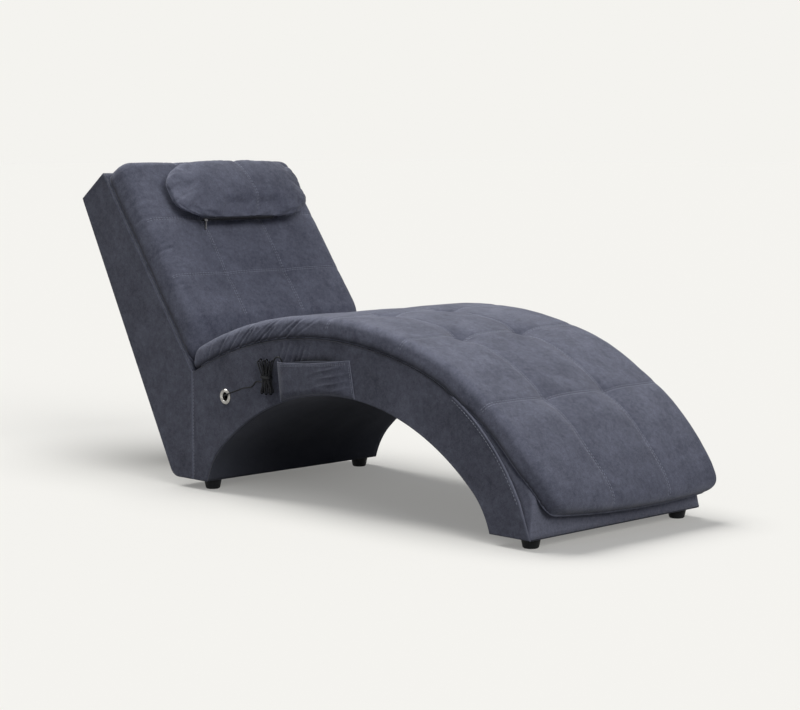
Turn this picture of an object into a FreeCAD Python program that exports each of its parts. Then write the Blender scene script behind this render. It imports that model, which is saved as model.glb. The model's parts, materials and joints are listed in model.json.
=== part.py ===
import FreeCAD, Part
import math
import os
import re
from types import SimpleNamespace

import Sketcher
from FreeCAD import Placement, Rotation, Vector

# Driving sizes in millimetres, angles in degrees. X runs from head to foot, Y across, Z up.
# The pocket and the cable are on the -Y side, which is the sitter's right.
SIZES = {
    # Side outline of the upholstered frame
    "frame_width": 526,
    "leg_gap": 21,
    "crown_x": 98,
    "crown_height": 365,
    "crown_radius": 933,
    "crown_turn": 17.3,
    "foot_radius": 467,
    "toe_rise": 67.9,
    "toe_reach": 27.3,
    "fold_x": -328,
    "back_tilt": 36.3,
    "back_length": 544,
    "back_top_depth": 101,
    "flank_tilt": 28.1,
    "heel_radius": 30,
    "arch_x": 146,
    "arch_height": 249,
    "arch_radius": 560,
    "arch_turn": 42.7,
    "haunch_radius": 172,
    # Frame timber and covers
    "cover_thickness": 4,
    "board_thickness": 18,
    "deck_thickness": 9,
    "deck_setback": 22,
    "rail_thickness": 20,
    "rail_depth": 60,
    "rail_play": 0.05,
    "rear_board_thickness": 3,
    "fold_rail_angle": -24.5,
    "rear_rail_angle": -12,
    "crown_rail_angle": 3,
    "front_rail_angle": 33,
    "top_rail_setback": 5,
    "heel_rail_rise": 60,
    "toe_rail_rise": 34,
    "toe_rail_depth": 30,
    "screw_radius": 2.4,
    "screw_head_radius": 4.6,
    "screw_head_height": 4,
    "screw_length": 50,
    "screw_spacing": 26,
    "screw_play": 0.05,
    # Seat cushion
    "soft_gap": 0.7,
    "seat_thickness": 46,
    "seat_side_inset": 5,
    "seat_foot_draw": 8,
    "seat_overhang_angle": 4.5,
    "seat_seam_y": 90,
    "seam_depth": 7,
    "tuft_depth": 5,
    "seam_band": 20,
    "panel_crown": 6,
    "side_draw": 9,
    "side_bulge": 6,
    "shoulder_draw": 12,
    "shoulder_drop": 15,
    "end_round": 26,
    "cushion_skin": 2.5,
    "skin_gap": 0.3,
    "meeting_gap": 0.35,
    # Foot wedge under the cushion
    "wedge_span_angle": 29,
    "wedge_height": 27,
    "wedge_slant": 20,
    "wedge_toe_height": 2,
    # Back cushion
    "back_thickness": 66,
    "back_side_inset": 7,
    "back_cushion_top": 538,
    # Pillow
    "pillow_length": 392,
    "pillow_height": 158,
    "pillow_thickness": 72,
    "pillow_rise": 420,
    "pillow_y": 14,
    "pillow_belly": 7,
    "zip_length": 216,
    "zip_side": -38,
    "zip_width": 12,
    "zip_thickness": 1.6,
    "zip_slider_length": 9,
    "zip_slider_width": 8,
    "zip_slider_edge": 1.6,
    "zip_slider_floor": 1.4,
    "zip_pin_height": 3.4,
    "zip_slider_height": 5.5,
    "zip_pull_length": 27,
    "zip_pull_width": 5,
    "zip_pull_thickness": 2.4,
    "zip_pull_lean": 28,
    "zip_pin_radius": 0.7,
    # Side pocket
    "pocket_depth": 17.7,
    "pocket_wall": 2,
    "pocket_slope": 10,
    "pocket_hem": 2,
    "pocket_rear_x": -44,
    "pocket_front_x": 200,
    "pocket_rear_rim": 305,
    "pocket_front_rim": 328,
    "pocket_side_lean": 15,
    # Cable eyelet
    "eyelet_x": -213,
    "eyelet_height": 218,
    "eyelet_radius": 17,
    "eyelet_bore_radius": 9,
    "eyelet_tube_radius": 11,
    "eyelet_dome": 3.4,
    "washer_thickness": 1.5,
    "hole_play": 0.05,
    # Cable, hank and tie
    "cable_radius": 1.5,
    "hank_x": -68,
    "hank_middle": 273,
    "hank_half_height": 34,
    "hank_end_pitch": 6,
    "hank_waist_pitch": 3.8,
    "hank_bend_radius": 3,
    "hank_rear_y": -267,
    "hank_loops": 6,
    "hank_entry_radius": 12,
    "tie_width": 5,
    "tie_thickness": 1.2,
    "tie_play": 0.5,
    # Hand control
    "handset_angle": -6.7,
    "handset_seat_gap": 0.8,
    "handset_length": 120,
    "handset_height": 46,
    "handset_thickness": 13.1,
    "handset_split": 7,
    "handset_wall": 2,
    "handset_corner": 8,
    "handset_side_gap": 1.3,
    "circuit_margin": 4,
    "circuit_thickness": 1.6,
    "circuit_height": 5,
    "circuit_post_radius": 2.5,
    "switch_side": 6,
    "switch_height": 2.3,
    "button_radius": 4.5,
    "button_flange_radius": 6,
    "button_flange": 1.3,
    "button_proud": 0.5,
    "button_play": 0.2,
    "button_roof_gap": 0.1,
    "button_spacing": 20,
    "relief_length": 11,
    "relief_run": 9,
    "relief_radius": 3.4,
    "relief_tip_radius": 2.4,
    # Control box and power inlet
    "box_length": 100,
    "box_reach": 72,
    "box_height": 56,
    "box_depth": 34,
    "box_wall": 2.5,
    "box_standoff": 5,
    "box_post_radius": 4,
    "inlet_rise": 150,
    "inlet_y": 150,
    "inlet_radius": 6,
    "inlet_flange_radius": 9,
    "inlet_flange": 1.5,
    "inlet_bore_radius": 2.8,
    "inlet_bore_depth": 9,
    "inlet_length": 16,
    # Vibration motors and heating pad
    "motor_length": 50,
    "motor_width": 40,
    "motor_height": 32,
    "motor_bore_radius": 14,
    "motor_wall": 3,
    "motor_lid": 2,
    "motor_shaft_radius": 2,
    "shaft_play": 0.05,
    "weight_radius": 12,
    "weight_length": 20,
    "upper_motor_rise": 400,
    "lower_motor_rise": 190,
    "hip_motor_angle": -5,
    "thigh_motor_angle": 14,
    "heater_length": 190,
    "heater_width": 150,
    "heater_thickness": 2,
    "heater_rise": 175,
    "heater_cover": 16,
    # Feet
    "foot_arch_setback": 21.4,
    "foot_toe_setback": 30,
    "foot_side_setback": 37,
    "foot_top_radius": 20,
    "foot_base_radius": 16,
    "foot_edge": 2,
    "foot_bolt_radius": 3,
    "foot_bolt_length": 30,
    "foot_bolt_head_radius": 5.5,
    "foot_bolt_head": 4,
    "foot_recess_radius": 8,
    "foot_recess": 9,
    "foot_bolt_play": 0.05,
    "foot_hole_play": 0.3,
    "insert_radius": 5,
    "insert_length": 15,
    "block_length": 54,
    "block_width": 58,
    "block_height": 18,
    "block_edge": 11,
    # Overrun of every cut
    "overrun": 5,
}

# Places along the cushions where cross seams pull the cover down
SEAT_CROSS_SEAM_ANGLES = (-14.5, 0.5, 13.6, 39.5)
BACK_CROSS_SEAM_SHARES = (0.28, 0.624)
# Room left free of other sections beside a cross seam, in widths of its band
SEAM_ROOM = 1.2
# Rounded cushion end: place along the rounding, and how full the section is there
END_ROUND_SHARES = ((0.0, 0.42), (0.3, 0.78), (1.0, 1.0))
# Domed face of the eyelet: place from the bore to the rim, and share of the dome's height
EYELET_SHARES = ((1.0, 0.0), (1.0, 0.33), (0.79, 0.85), (0.5, 1.0), (0.14, 0.7), (0.0, 0.25))
# How much the pillow's height gives way to its rounding, and where its faces end
PILLOW_END_SHARE = 0.25
PILLOW_SHOULDER_SHARE = 0.84
BUTTONS = ("power_button", "mode_button", "strength_button", "heat_button")
# Places of the wedge's sections down the toe, from its brow
WEDGE_TOE_SHARES = (0.5, 0.97)
# Pillow: place along its half length, and how full the section is there
PILLOW_SHARES = ((-1.0, 0.5), (-0.95, 0.78), (-0.84, 0.93), (-0.5, 1.0),
                 (0.0, 1.0), (0.5, 1.0), (0.84, 0.93), (0.95, 0.78), (1.0, 0.5))
# Steps between sections along the seat
SECTION_STEP_DEGREES = 3.0
FOOT_STEP_DEGREES = 4.0

# Points along the hank that count as the same stretch
NEARBY_POINTS = 8
# Share of the shorter run beside a corner of the cable that its arc takes up
RUN_SHARE = 0.45
# Cable from the control box out of the eyelet and along the side, up to the hank
CABLE_ROUTE = (
    (-213, -236, 218), (-213, -251, 218), (-211.5, -267, 219), (-203, -275.5, 222.5),
    (-187, -273, 228.5), (-168, -267.5, 235.5), (-147, -266.6, 243.5), (-131, -266.8, 245),
    (-117, -267, 248.5), (-106, -267, 261),
)
# Cable from the hank up over the pocket's rear corner and down to the hand control
CABLE_END_ROUTE = (
    (-56.6, -267, 282), (-53, -267.5, 292), (-47.5, -269.5, 303), (-41, -271.5, 313),
    (-32, -273, 319.5), (-21, -273.5, 320), (-13.5, -273.5, 312.5), (-13, -273, 301.5),
    (-17, -272.5, 291), (-19, -272, 281.5), (-13.5, -271.6, 274.3),
)

document = FreeCAD.newDocument("SpaLounger")
sheet = document.addObject("Spreadsheet::Sheet", "Sizes")
for row, (name, size) in enumerate(SIZES.items(), start=1):
    sheet.set("A%d" % row, name)
    sheet.set("B%d" % row, str(size))
    sheet.setAlias("B%d" % row, name)
document.recompute()
S = SimpleNamespace(**{name: float(sheet.get(name)) for name in SIZES})
SUB_PARTS = []
TOLERANCE = 1e-6


# Formulas, sketches and features
def formula(text):
    """A formula of sheet names, as an expression of the document."""
    return re.sub(r"[a-z][a-z_]+", lambda m: "Sizes." + m.group() if m.group() in SIZES else m.group(), text)


def bind(thing, **formulas):
    for name, text in formulas.items():
        thing.setExpression(name, formula(text))


def keep(thing, label):
    thing.Label = label
    SUB_PARTS.append(thing)
    return thing


def keep_shape(label, shape):
    """A sub-part whose shape is worked out from the sheet's values."""
    feature = document.addObject("Part::Feature", label)
    feature.Shape = shape
    return keep(feature, label)


def blank(name, placement):
    """A body that is worked further before it becomes a sub-part."""
    made = document.addObject("PartDesign::Body", name)
    made.Placement = placement
    return made


def body(label, placement=Placement()):
    return keep(blank(label, placement), label)


def sketch(owner, role):
    made = owner.newObject("Sketcher::SketchObject", owner.Name + "Sketch")
    plane = next(p for p in owner.Origin.OriginFeatures if p.Role == role)
    made.AttachmentSupport = (plane, [""])
    made.MapMode = "FlatFace"
    return made


def pin_point(made, geometry, point, across, up):
    """Hold a point of a sketch at a place given by two formulas."""
    for kind, text in (("DistanceX", across), ("DistanceY", up)):
        number = made.addConstraint(Sketcher.Constraint(kind, -1, 1, geometry, point, 1.0))
        made.setExpression("Constraints[%d]" % number, formula(text))


def draw_polygon(made, corners):
    """A closed outline of straight lines through places given by formulas."""
    first = made.GeometryCount
    count = len(corners)
    ring = [Vector(math.cos(2 * math.pi * i / count), math.sin(2 * math.pi * i / count), 0)
            for i in range(count)]
    for i in range(count):
        made.addGeometry(Part.LineSegment(ring[i], ring[(i + 1) % count]))
    for i in range(count):
        following = first + (i + 1) % count
        made.addConstraint(Sketcher.Constraint("Coincident", first + i, 2, following, 1))
    for i, (across, up) in enumerate(corners):
        pin_point(made, first + i, 1, across, up)


def draw_rectangle(made, left, low, right, high):
    draw_polygon(made, ((left, low), (right, low), (right, high), (left, high)))


def draw_circle(made, across, up, radius):
    number = made.addGeometry(Part.Circle(Vector(1, 1, 0), Vector(0, 0, 1), 1.0))
    pin_point(made, number, 3, across, up)
    held = made.addConstraint(Sketcher.Constraint("Radius", number, 1.0))
    made.setExpression("Constraints[%d]" % held, formula(radius))


def pad(owner, made, length, reverse=False, middle=False):
    feature = owner.newObject("PartDesign::Pad", owner.Name + "Pad")
    feature.Profile = made
    feature.Reversed = reverse
    feature.Midplane = middle
    bind(feature, Length=length)
    document.recompute()
    return feature


def pocket(owner, made, depth, reverse=False):
    """Cut a sketch into the body, and make sure that it removes something."""
    before = owner.Shape.Volume
    feature = owner.newObject("PartDesign::Pocket", owner.Name + "Pocket")
    feature.Profile = made
    feature.Reversed = reverse
    bind(feature, Length=depth)
    document.recompute()
    if owner.Shape.Volume > before * (1 - TOLERANCE):
        raise ValueError("a pocket of %s cuts nothing" % owner.Label)
    return feature


def turn_profile(owner, made):
    """Turn a half section that is drawn on the XZ plane about the body's Z axis."""
    feature = owner.newObject("PartDesign::Revolution", owner.Name + "Revolution")
    feature.Profile = made
    feature.ReferenceAxis = (made, ["V_Axis"])
    feature.Angle = 360
    document.recompute()
    return feature


def round_edges(owner, feature, radius, wanted):
    """Round the edges of a feature that a test picks out."""
    names = ["Edge%d" % n for n, edge in enumerate(feature.Shape.Edges, start=1) if wanted(edge)]
    made = owner.newObject("PartDesign::Fillet", owner.Name + "Fillet")
    made.Base = (feature, names)
    bind(made, Radius=radius)
    document.recompute()
    return made


def is_upright(edge):
    """Whether an edge runs along its body's own Z axis."""
    ends = [v.Point for v in edge.Vertexes]
    return len(ends) == 2 and (ends[1] - ends[0]).normalize().cross(Vector(0, 0, 1)).Length < TOLERANCE


# Side outline
def spoke(angle):
    """Unit vector in the side plane, at an angle from upright towards the foot end."""
    return Vector(math.sin(math.radians(angle)), 0, math.cos(math.radians(angle)))


CROWN_CENTRE = Vector(S.crown_x, 0, S.crown_height - S.crown_radius)
FOOT_CENTRE = CROWN_CENTRE + spoke(S.crown_turn) * (S.crown_radius - S.foot_radius)
FOLD_ANGLE = math.degrees(math.asin((S.fold_x - S.crown_x) / S.crown_radius))
FOLD = CROWN_CENTRE + spoke(FOLD_ANGLE) * S.crown_radius
FOOT_TURN = math.degrees(math.acos((S.leg_gap + S.toe_rise - FOOT_CENTRE.z) / S.foot_radius))
SEAT_END_ANGLE = FOOT_TURN + S.seat_overhang_angle
WEDGE_START_ANGLE = FOOT_TURN - S.wedge_span_angle
ALONG_BACK = spoke(-S.back_tilt)
OUT_OF_BACK = spoke(90 - S.back_tilt)
ACROSS = Vector(0, 1, 0)
UPRIGHT = Vector(0, 0, 1)
HALF = S.frame_width / 2
BOARD_OUTER = HALF - S.cover_thickness
BOARD_INNER = BOARD_OUTER - S.board_thickness
FOOT_Y = HALF - S.foot_side_setback
DECK_TOP = -S.cover_thickness
DECK_BASE = DECK_TOP - S.deck_thickness
SEAT_RAIL_ANGLES = (S.fold_rail_angle, S.rear_rail_angle, S.crown_rail_angle, S.front_rail_angle)
TOP_RAIL_RISE = S.back_length - S.cover_thickness - S.top_rail_setback - S.rail_thickness / 2


def seat_point(angle, rise):
    """A point over the seat line, by its angle on the line and its height square to it."""
    if angle <= S.crown_turn:
        return CROWN_CENTRE + spoke(angle) * (S.crown_radius + rise)
    return FOOT_CENTRE + spoke(angle) * (S.foot_radius + rise)


def back_point(rise, out):
    """A point by its way up the back's front face from the fold, and its height square to it."""
    return FOLD + ALONG_BACK * rise + OUT_OF_BACK * out


def left_of(heading):
    return Vector(-heading.z, 0, heading.x)


class Outline:
    """A closed anticlockwise run of straight and round stretches, which can be set inwards."""

    def __init__(self, stretches):
        self.stretches = stretches

    def at(self, number):
        return self.stretches[number % len(self.stretches)]

    def heading(self, number, point):
        start, centre, turn = self.at(number)
        if centre is None:
            return (self.at(number + 1)[0] - start).normalize()
        return (left_of(point - centre) * turn).normalize()

    def corner(self, number, inset):
        """Where stretches number - 1 and number meet, once both are set inwards."""
        here = self.at(number)[0]
        before = self.heading(number - 1, here)
        after = self.heading(number, here)
        left, right = left_of(before), left_of(after)
        if before.cross(after).Length < TOLERANCE:
            return here + right * inset
        if self.at(number)[1] is None and self.at(number - 1)[1] is None:
            return here + (left + right) * (inset / (1 + left.dot(right)))
        straight, side = (before, left) if self.at(number - 1)[1] is None else (after, right)
        curved = self.at(number) if self.at(number)[1] is not None else self.at(number - 1)
        radius = (here - curved[1]).Length - curved[2] * inset
        base = here + side * inset - curved[1]
        middle = straight.dot(base)
        reach = math.sqrt(middle ** 2 - base.dot(base) + radius ** 2)
        step = min((-middle + reach, -middle - reach), key=abs)
        return curved[1] + base + straight * step

    def edge(self, number, inset):
        first, last = self.corner(number, inset), self.corner(number + 1, inset)
        centre = self.at(number)[1]
        if centre is None:
            return Part.LineSegment(first, last).toShape()
        radius = (first - centre).Length
        bisector = (first - centre).normalize() + (last - centre).normalize()
        return Part.Arc(first, centre + bisector.normalize() * radius, last).toShape()

    def whole(self, inset):
        return Part.Wire([self.edge(n, inset) for n in range(len(self.stretches))])

    def strip(self, first, last, outer, inner):
        """The closed outline of a layer between two insets along some stretches."""
        numbers = range(first, last + 1)
        edges = [self.edge(n, outer) for n in numbers]
        edges.append(Part.LineSegment(self.corner(last + 1, outer), self.corner(last + 1, inner)).toShape())
        edges += [self.edge(n, inner) for n in reversed(numbers)]
        edges.append(Part.LineSegment(self.corner(first, inner), self.corner(first, outer)).toShape())
        return Part.Wire(Part.__sortEdges__(edges))


def round_corner(before, corner, after, radius):
    """The ends and the centre of an arc that rounds a corner."""
    back, on = (before - corner).normalize(), (after - corner).normalize()
    half = math.acos(max(-1.0, min(1.0, back.dot(on)))) / 2
    reach = radius / math.tan(half)
    centre = corner + (back + on).normalize() * (radius / math.sin(half))
    return corner + back * reach, centre, corner + on * reach


def arch_end(way):
    centre = ARCH_CENTRE + spoke(way * S.arch_turn) * (S.arch_radius - S.haunch_radius)
    drop = S.leg_gap - centre.z
    foot = Vector(centre.x + way * math.sqrt(S.haunch_radius ** 2 - drop ** 2), 0, S.leg_gap)
    return foot, centre, ARCH_CENTRE + spoke(way * S.arch_turn) * S.arch_radius


ARCH_CENTRE = Vector(S.arch_x, 0, S.arch_height - S.arch_radius)
TOE = Vector(seat_point(FOOT_TURN, 0).x + S.toe_reach, 0, S.leg_gap)
TOP_FRONT = back_point(S.back_length, 0)
TOP_REAR = back_point(S.back_length, -S.back_top_depth)
FLANK_DOWN = Vector(math.sin(math.radians(S.flank_tilt)), 0, -math.cos(math.radians(S.flank_tilt)))
HEEL = TOP_REAR + FLANK_DOWN * ((TOP_REAR.z - S.leg_gap) / -FLANK_DOWN.z)
REAR_FOOT, REAR_HAUNCH, REAR_SPRING = arch_end(-1)
FRONT_FOOT, FRONT_HAUNCH, FRONT_SPRING = arch_end(1)
HEEL_TOP, HEEL_CENTRE, HEEL_END = round_corner(TOP_REAR, HEEL, REAR_FOOT, S.heel_radius)
SIDE = Outline((
    (TOE, None, 0),
    (seat_point(FOOT_TURN, 0), FOOT_CENTRE, 1),
    (seat_point(S.crown_turn, 0), CROWN_CENTRE, 1),
    (FOLD, None, 0),
    (TOP_FRONT, None, 0),
    (TOP_REAR, None, 0),
    (HEEL_TOP, HEEL_CENTRE, 1),
    (HEEL_END, None, 0),
    (REAR_FOOT, REAR_HAUNCH, -1),
    (REAR_SPRING, ARCH_CENTRE, -1),
    (FRONT_SPRING, FRONT_HAUNCH, -1),
    (FRONT_FOOT, None, 0),
))
# Numbers of the outline's stretches
TOE_FACE, FOOT_ARC, CROWN_ARC, BACK_FACE, BACK_END, FLANK, HEEL_ARC, REAR_SOLE = range(8)
REAR_HAUNCH_ARC, ARCH_ARC, FRONT_HAUNCH_ARC, FRONT_SOLE = range(8, 12)


def slab(wire, low_y, high_y):
    """A side outline made solid between two places across."""
    face = Part.Face(wire)
    face.translate(ACROSS * low_y)
    return face.extrude(ACROSS * (high_y - low_y))


def rod(start, way, length, radius, tip_radius=None):
    """A round bar, or a taper when it has a radius for its tip."""
    if tip_radius is None:
        return Part.makeCylinder(radius, length, start, way)
    return Part.makeCone(radius, tip_radius, length, start, way)


def beyond(x, side):
    """Everything on one side of an upright plane across the lounger."""
    reach = S.back_length + S.crown_radius
    corner = Vector(x if side > 0 else x - reach, -reach / 2, -reach / 2)
    return Part.makeBox(reach, reach, reach, corner)


def frame_at(origin, x_way, z_way):
    """A placement whose own X and Z axes point two given ways."""
    return Placement(origin, Rotation(x_way, z_way.cross(x_way), z_way, "ZXY"))


# Timber frame
def seat_frame(angle, rise):
    """A placement over the seat line, with X along the line and Z out of it."""
    return frame_at(seat_point(angle, rise), spoke(angle + 90), spoke(angle))


def back_frame(rise, out):
    """A placement on the back, with X up along it and Z out of its front face."""
    return frame_at(back_point(rise, out), ALONG_BACK, OUT_OF_BACK)


def rail(name, placement, length, width, height):
    """A rail between the two side boards, centred on its placement's X and hung below it."""
    made = blank(name + "_blank", placement)
    section = sketch(made, "XZ_Plane")
    draw_rectangle(section, "-%s / 2" % length, "-%s" % height, "%s / 2" % length, "0")
    pad(made, section, width, middle=True)
    return made.Shape


def make_rails():
    """Seat rails under the deck, and the rails of the back's top, the heel and the toe."""
    inner = "(frame_width - 2 * cover_thickness - 2 * board_thickness)"
    holes = screw_set(-1, S.screw_play) + screw_set(1, S.screw_play)
    seat_rails = [rail("seat_rail", seat_frame(angle, DECK_BASE - sag(angle)), "rail_thickness", inner,
                       "rail_depth").cut(holes) for angle in SEAT_RAIL_ANGLES]
    keep_shape("seat_rails", Part.makeCompound(seat_rails))
    top = rail("back_top_rail", back_frame(TOP_RAIL_RISE, DECK_BASE - S.rail_play), "rail_thickness",
               inner, "rail_depth")
    keep_shape("back_top_rail", top.cut(holes))
    flank = frame_at(on_flank(S.heel_rail_rise, -S.cover_thickness - S.rear_board_thickness),
                     FLANK_DOWN * -1, left_of(FLANK_DOWN) * -1)
    keep_shape("heel_rail", rail("heel_rail", flank, "rail_depth", inner, "rail_thickness").cut(holes))
    toe_way = SIDE.heading(TOE_FACE, TOE)
    toe = frame_at(TOE + toe_way * (S.toe_rail_rise + S.toe_rail_depth / 2)
                   + left_of(toe_way) * S.cover_thickness, toe_way, left_of(toe_way) * -1)
    keep_shape("toe_rail", rail("toe_rail", toe, "toe_rail_depth", inner, "rail_thickness"))


def sag(angle):
    """How far a flat rail top lies under the middle of the curved deck over it."""
    radius = (S.crown_radius if angle <= S.crown_turn else S.foot_radius) + DECK_BASE
    return radius - math.sqrt(radius ** 2 - (S.rail_thickness / 2) ** 2) + S.rail_play


def on_flank(rise, out):
    """A point on the sloping rear face, by its way up from the heel and its height square to it."""
    return HEEL - FLANK_DOWN * rise - left_of(FLANK_DOWN) * out


def rail_screw_places():
    """Where screws go through the side boards into the rails, as points of the side plane."""
    places = []
    for angle in SEAT_RAIL_ANGLES:
        for step in (-1, 1):
            depth = DECK_BASE - S.rail_depth / 2 + step * S.screw_spacing / 2
            places.append(seat_point(angle, depth))
    for step in (-1, 1):
        places.append(back_point(TOP_RAIL_RISE, DECK_BASE - S.rail_depth / 2 + step * S.screw_spacing / 2))
        out = -S.cover_thickness - S.rear_board_thickness - S.rail_thickness / 2
        places.append(on_flank(S.heel_rail_rise + step * S.screw_spacing / 2, out))
    return places


def screw_set(side, play):
    """The countersunk screws of one side, or their holes when there is play."""
    solids = []
    inward = ACROSS * -side
    for place in rail_screw_places():
        head = place + ACROSS * (side * BOARD_OUTER)
        cone = rod(head, inward, S.screw_head_height, S.screw_head_radius + play, S.screw_radius + play)
        shank = rod(head + inward * S.screw_head_height, inward,
                    S.screw_length - S.screw_head_height, S.screw_radius + play)
        solids.append(cone.fuse(shank).removeSplitter())
    return solids


def make_side_boards(holes):
    for label, side in (("right_side_board", -1), ("left_side_board", 1)):
        low, high = sorted((side * BOARD_OUTER, side * BOARD_INNER))
        board = slab(SIDE.whole(S.cover_thickness), low, high)
        board = board.cut(screw_set(side, S.screw_play))
        if side < 0:
            board = board.cut(holes)
        keep_shape(label, board)


def make_decks():
    front = FOOT_TURN - math.degrees(S.deck_setback / S.foot_radius)
    rear = FOLD_ANGLE + math.degrees(S.deck_thickness / S.crown_radius)
    edges = []
    for rise in (DECK_TOP, DECK_BASE):
        middle_rear = (rear + S.crown_turn) / 2
        middle_front = (front + S.crown_turn) / 2
        edges.append(Part.Arc(seat_point(rear, rise), seat_point(middle_rear, rise),
                              seat_point(S.crown_turn, rise)).toShape())
        edges.append(Part.Arc(seat_point(S.crown_turn, rise), seat_point(middle_front, rise),
                              seat_point(front, rise)).toShape())
    for angle in (rear, front):
        edges.append(Part.LineSegment(seat_point(angle, DECK_TOP), seat_point(angle, DECK_BASE)).toShape())
    keep_shape("seat_deck", slab(Part.Wire(Part.__sortEdges__(edges)), -BOARD_INNER, BOARD_INNER))
    deck = body("back_deck", back_frame(0, DECK_BASE))
    plan = sketch(deck, "XY_Plane")
    half = "(frame_width / 2 - cover_thickness - board_thickness)"
    draw_rectangle(plan, "deck_setback", "-" + half, "back_length - cover_thickness", half)
    pad(deck, plan, "deck_thickness")


def make_rear_board(holes):
    low = on_flank(S.heel_radius, -S.cover_thickness)
    high = SIDE.corner(FLANK, S.cover_thickness)
    board = Part.makePolygon([low, high, high + left_of(FLANK_DOWN) * S.rear_board_thickness,
                              low + left_of(FLANK_DOWN) * S.rear_board_thickness, low])
    keep_shape("rear_board", slab(board, -BOARD_INNER, BOARD_INNER).cut(holes))


def foot_places():
    ends = (("rear", REAR_FOOT.x - S.foot_arch_setback), ("front", TOE.x - S.foot_toe_setback))
    for end, x in ends:
        for name, side in (("right", -1), ("left", 1)):
            yield "%s_%s_foot" % (end, name), x, side


def make_foot_blocks():
    """Corner blocks inside the side boards, sawn to the outline, which take the foot inserts."""
    inside = slab(SIDE.whole(S.cover_thickness), -BOARD_INNER, BOARD_INNER)
    blocks = []
    for _, x, side in foot_places():
        low_y = min(side * BOARD_INNER, side * (BOARD_INNER - S.block_width))
        corner = Vector(x + S.block_edge - S.block_length, low_y, S.leg_gap + S.cover_thickness)
        block = Part.makeBox(S.block_length, S.block_width, S.block_height, corner)
        hole = rod(Vector(x, side * FOOT_Y, 0), UPRIGHT, S.arch_height, S.insert_radius)
        blocks.append(block.common(inside).cut(hole))
    keep_shape("foot_blocks", Part.makeCompound(blocks))


# Feet
def make_feet():
    for label, x, side in foot_places():
        foot = body(label, Placement(Vector(x, side * FOOT_Y, 0), Rotation()))
        half = sketch(foot, "XZ_Plane")
        bore = "foot_bolt_radius + foot_hole_play"
        draw_polygon(half, (
            ("foot_recess_radius", "0"), ("foot_base_radius - foot_edge", "0"),
            ("foot_base_radius", "foot_edge"), ("foot_top_radius", "leg_gap"),
            (bore, "leg_gap"), (bore, "foot_recess"), ("foot_recess_radius", "foot_recess")))
        turn_profile(foot, half)


def make_foot_fasteners():
    bolts, inserts = [], []
    for _, x, side in foot_places():
        under = Vector(x, side * FOOT_Y, S.foot_recess - S.foot_bolt_head)
        head = rod(under, UPRIGHT, S.foot_bolt_head, S.foot_bolt_head_radius)
        shank = rod(under + UPRIGHT * S.foot_bolt_head, UPRIGHT, S.foot_bolt_length, S.foot_bolt_radius)
        bolts.append(head.fuse(shank).removeSplitter())
        base = Vector(x, side * FOOT_Y, S.leg_gap + S.cover_thickness)
        sleeve = rod(base, UPRIGHT, S.insert_length, S.insert_radius)
        bore = rod(base, UPRIGHT, S.insert_length, S.foot_bolt_radius + S.foot_bolt_play)
        inserts.append(sleeve.cut(bore))
    keep_shape("foot_bolts", Part.makeCompound(bolts))
    keep_shape("foot_inserts", Part.makeCompound(inserts))


# Covers on the frame
def make_covers(side_holes, inlet_hole):
    """Padded covers on the sides, split at the upright seam under the back, and on the edges."""
    for name, side in (("right", -1), ("left", 1)):
        low, high = sorted((side * HALF, side * BOARD_OUTER))
        whole = slab(SIDE.whole(0), low, high)
        if side < 0:
            whole = whole.cut(side_holes)
        keep_shape(name + "_seat_side_cover", whole.common(beyond(S.fold_x, 1)))
        keep_shape(name + "_back_side_cover", whole.common(beyond(S.fold_x, -1)))
    layers = (
        ("toe_cover", TOE_FACE, TOE_FACE), ("seat_deck_cover", FOOT_ARC, CROWN_ARC),
        ("back_deck_cover", BACK_FACE, BACK_END), ("rear_cover", FLANK, REAR_SOLE),
        ("underside_lining", REAR_HAUNCH_ARC, FRONT_SOLE),
    )
    for label, first, last in layers:
        layer = slab(SIDE.strip(first, last, 0, S.cover_thickness), -BOARD_OUTER, BOARD_OUTER)
        layer = layer.cut(bolt_holes())
        if label == "rear_cover":
            layer = layer.cut(inlet_hole)
        keep_shape(label, layer)


def bolt_holes():
    """Clear holes for the foot bolts through the soles."""
    return [rod(Vector(x, side * FOOT_Y, S.leg_gap - S.overrun), UPRIGHT,
                S.cover_thickness + 2 * S.overrun, S.foot_bolt_radius + S.foot_hole_play)
            for _, x, side in foot_places()]


# Cushions
class Section:
    """One cross section of a cushion: a place, the way out of it, and how it is pulled in there."""

    def __init__(self, origin, out, half, height, fullness=1.0, pinch=0.0):
        self.origin = origin
        self.out = out
        self.half = half
        self.height = height
        self.fullness = fullness
        self.pinch = pinch

    def wire(self, inset):
        """A closed outline with a flat base, bulging sides and three crowned panels."""
        lift = (1 - self.fullness) * self.height / 2
        top = self.height - lift - inset
        base = lift + inset
        half = self.half - (1 - self.fullness) * S.end_round / 2 - inset
        shoulder = base + (top - base) * (1 - S.shoulder_drop / self.height)
        dip = S.tuft_depth * self.pinch
        seam = top - S.seam_depth * self.fullness - dip
        crown = top - S.panel_crown * (1 - self.fullness) - dip / 2

        def place(across, out):
            return self.origin + ACROSS * across + self.out * out

        def arc(first, middle, last):
            return Part.Arc(place(*first), place(*middle), place(*last)).toShape()

        def mirrored(point):
            return (-point[0], point[1])

        low = (half - S.side_draw, base)
        flank = (half + S.side_bulge - dip / 2, (base + shoulder) / 2)
        edge = (half - S.shoulder_draw + S.side_bulge, shoulder)
        outer_top = ((edge[0] + S.seat_seam_y) / 2, top - dip / 2)
        channel = (S.seat_seam_y, seam)
        return Part.Wire([
            Part.LineSegment(place(*mirrored(low)), place(*low)).toShape(),
            arc(low, flank, edge),
            arc(edge, outer_top, channel),
            arc(channel, (0, crown), mirrored(channel)),
            arc(mirrored(channel), mirrored(outer_top), mirrored(edge)),
            arc(mirrored(edge), mirrored(flank), mirrored(low)),
        ])


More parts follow.
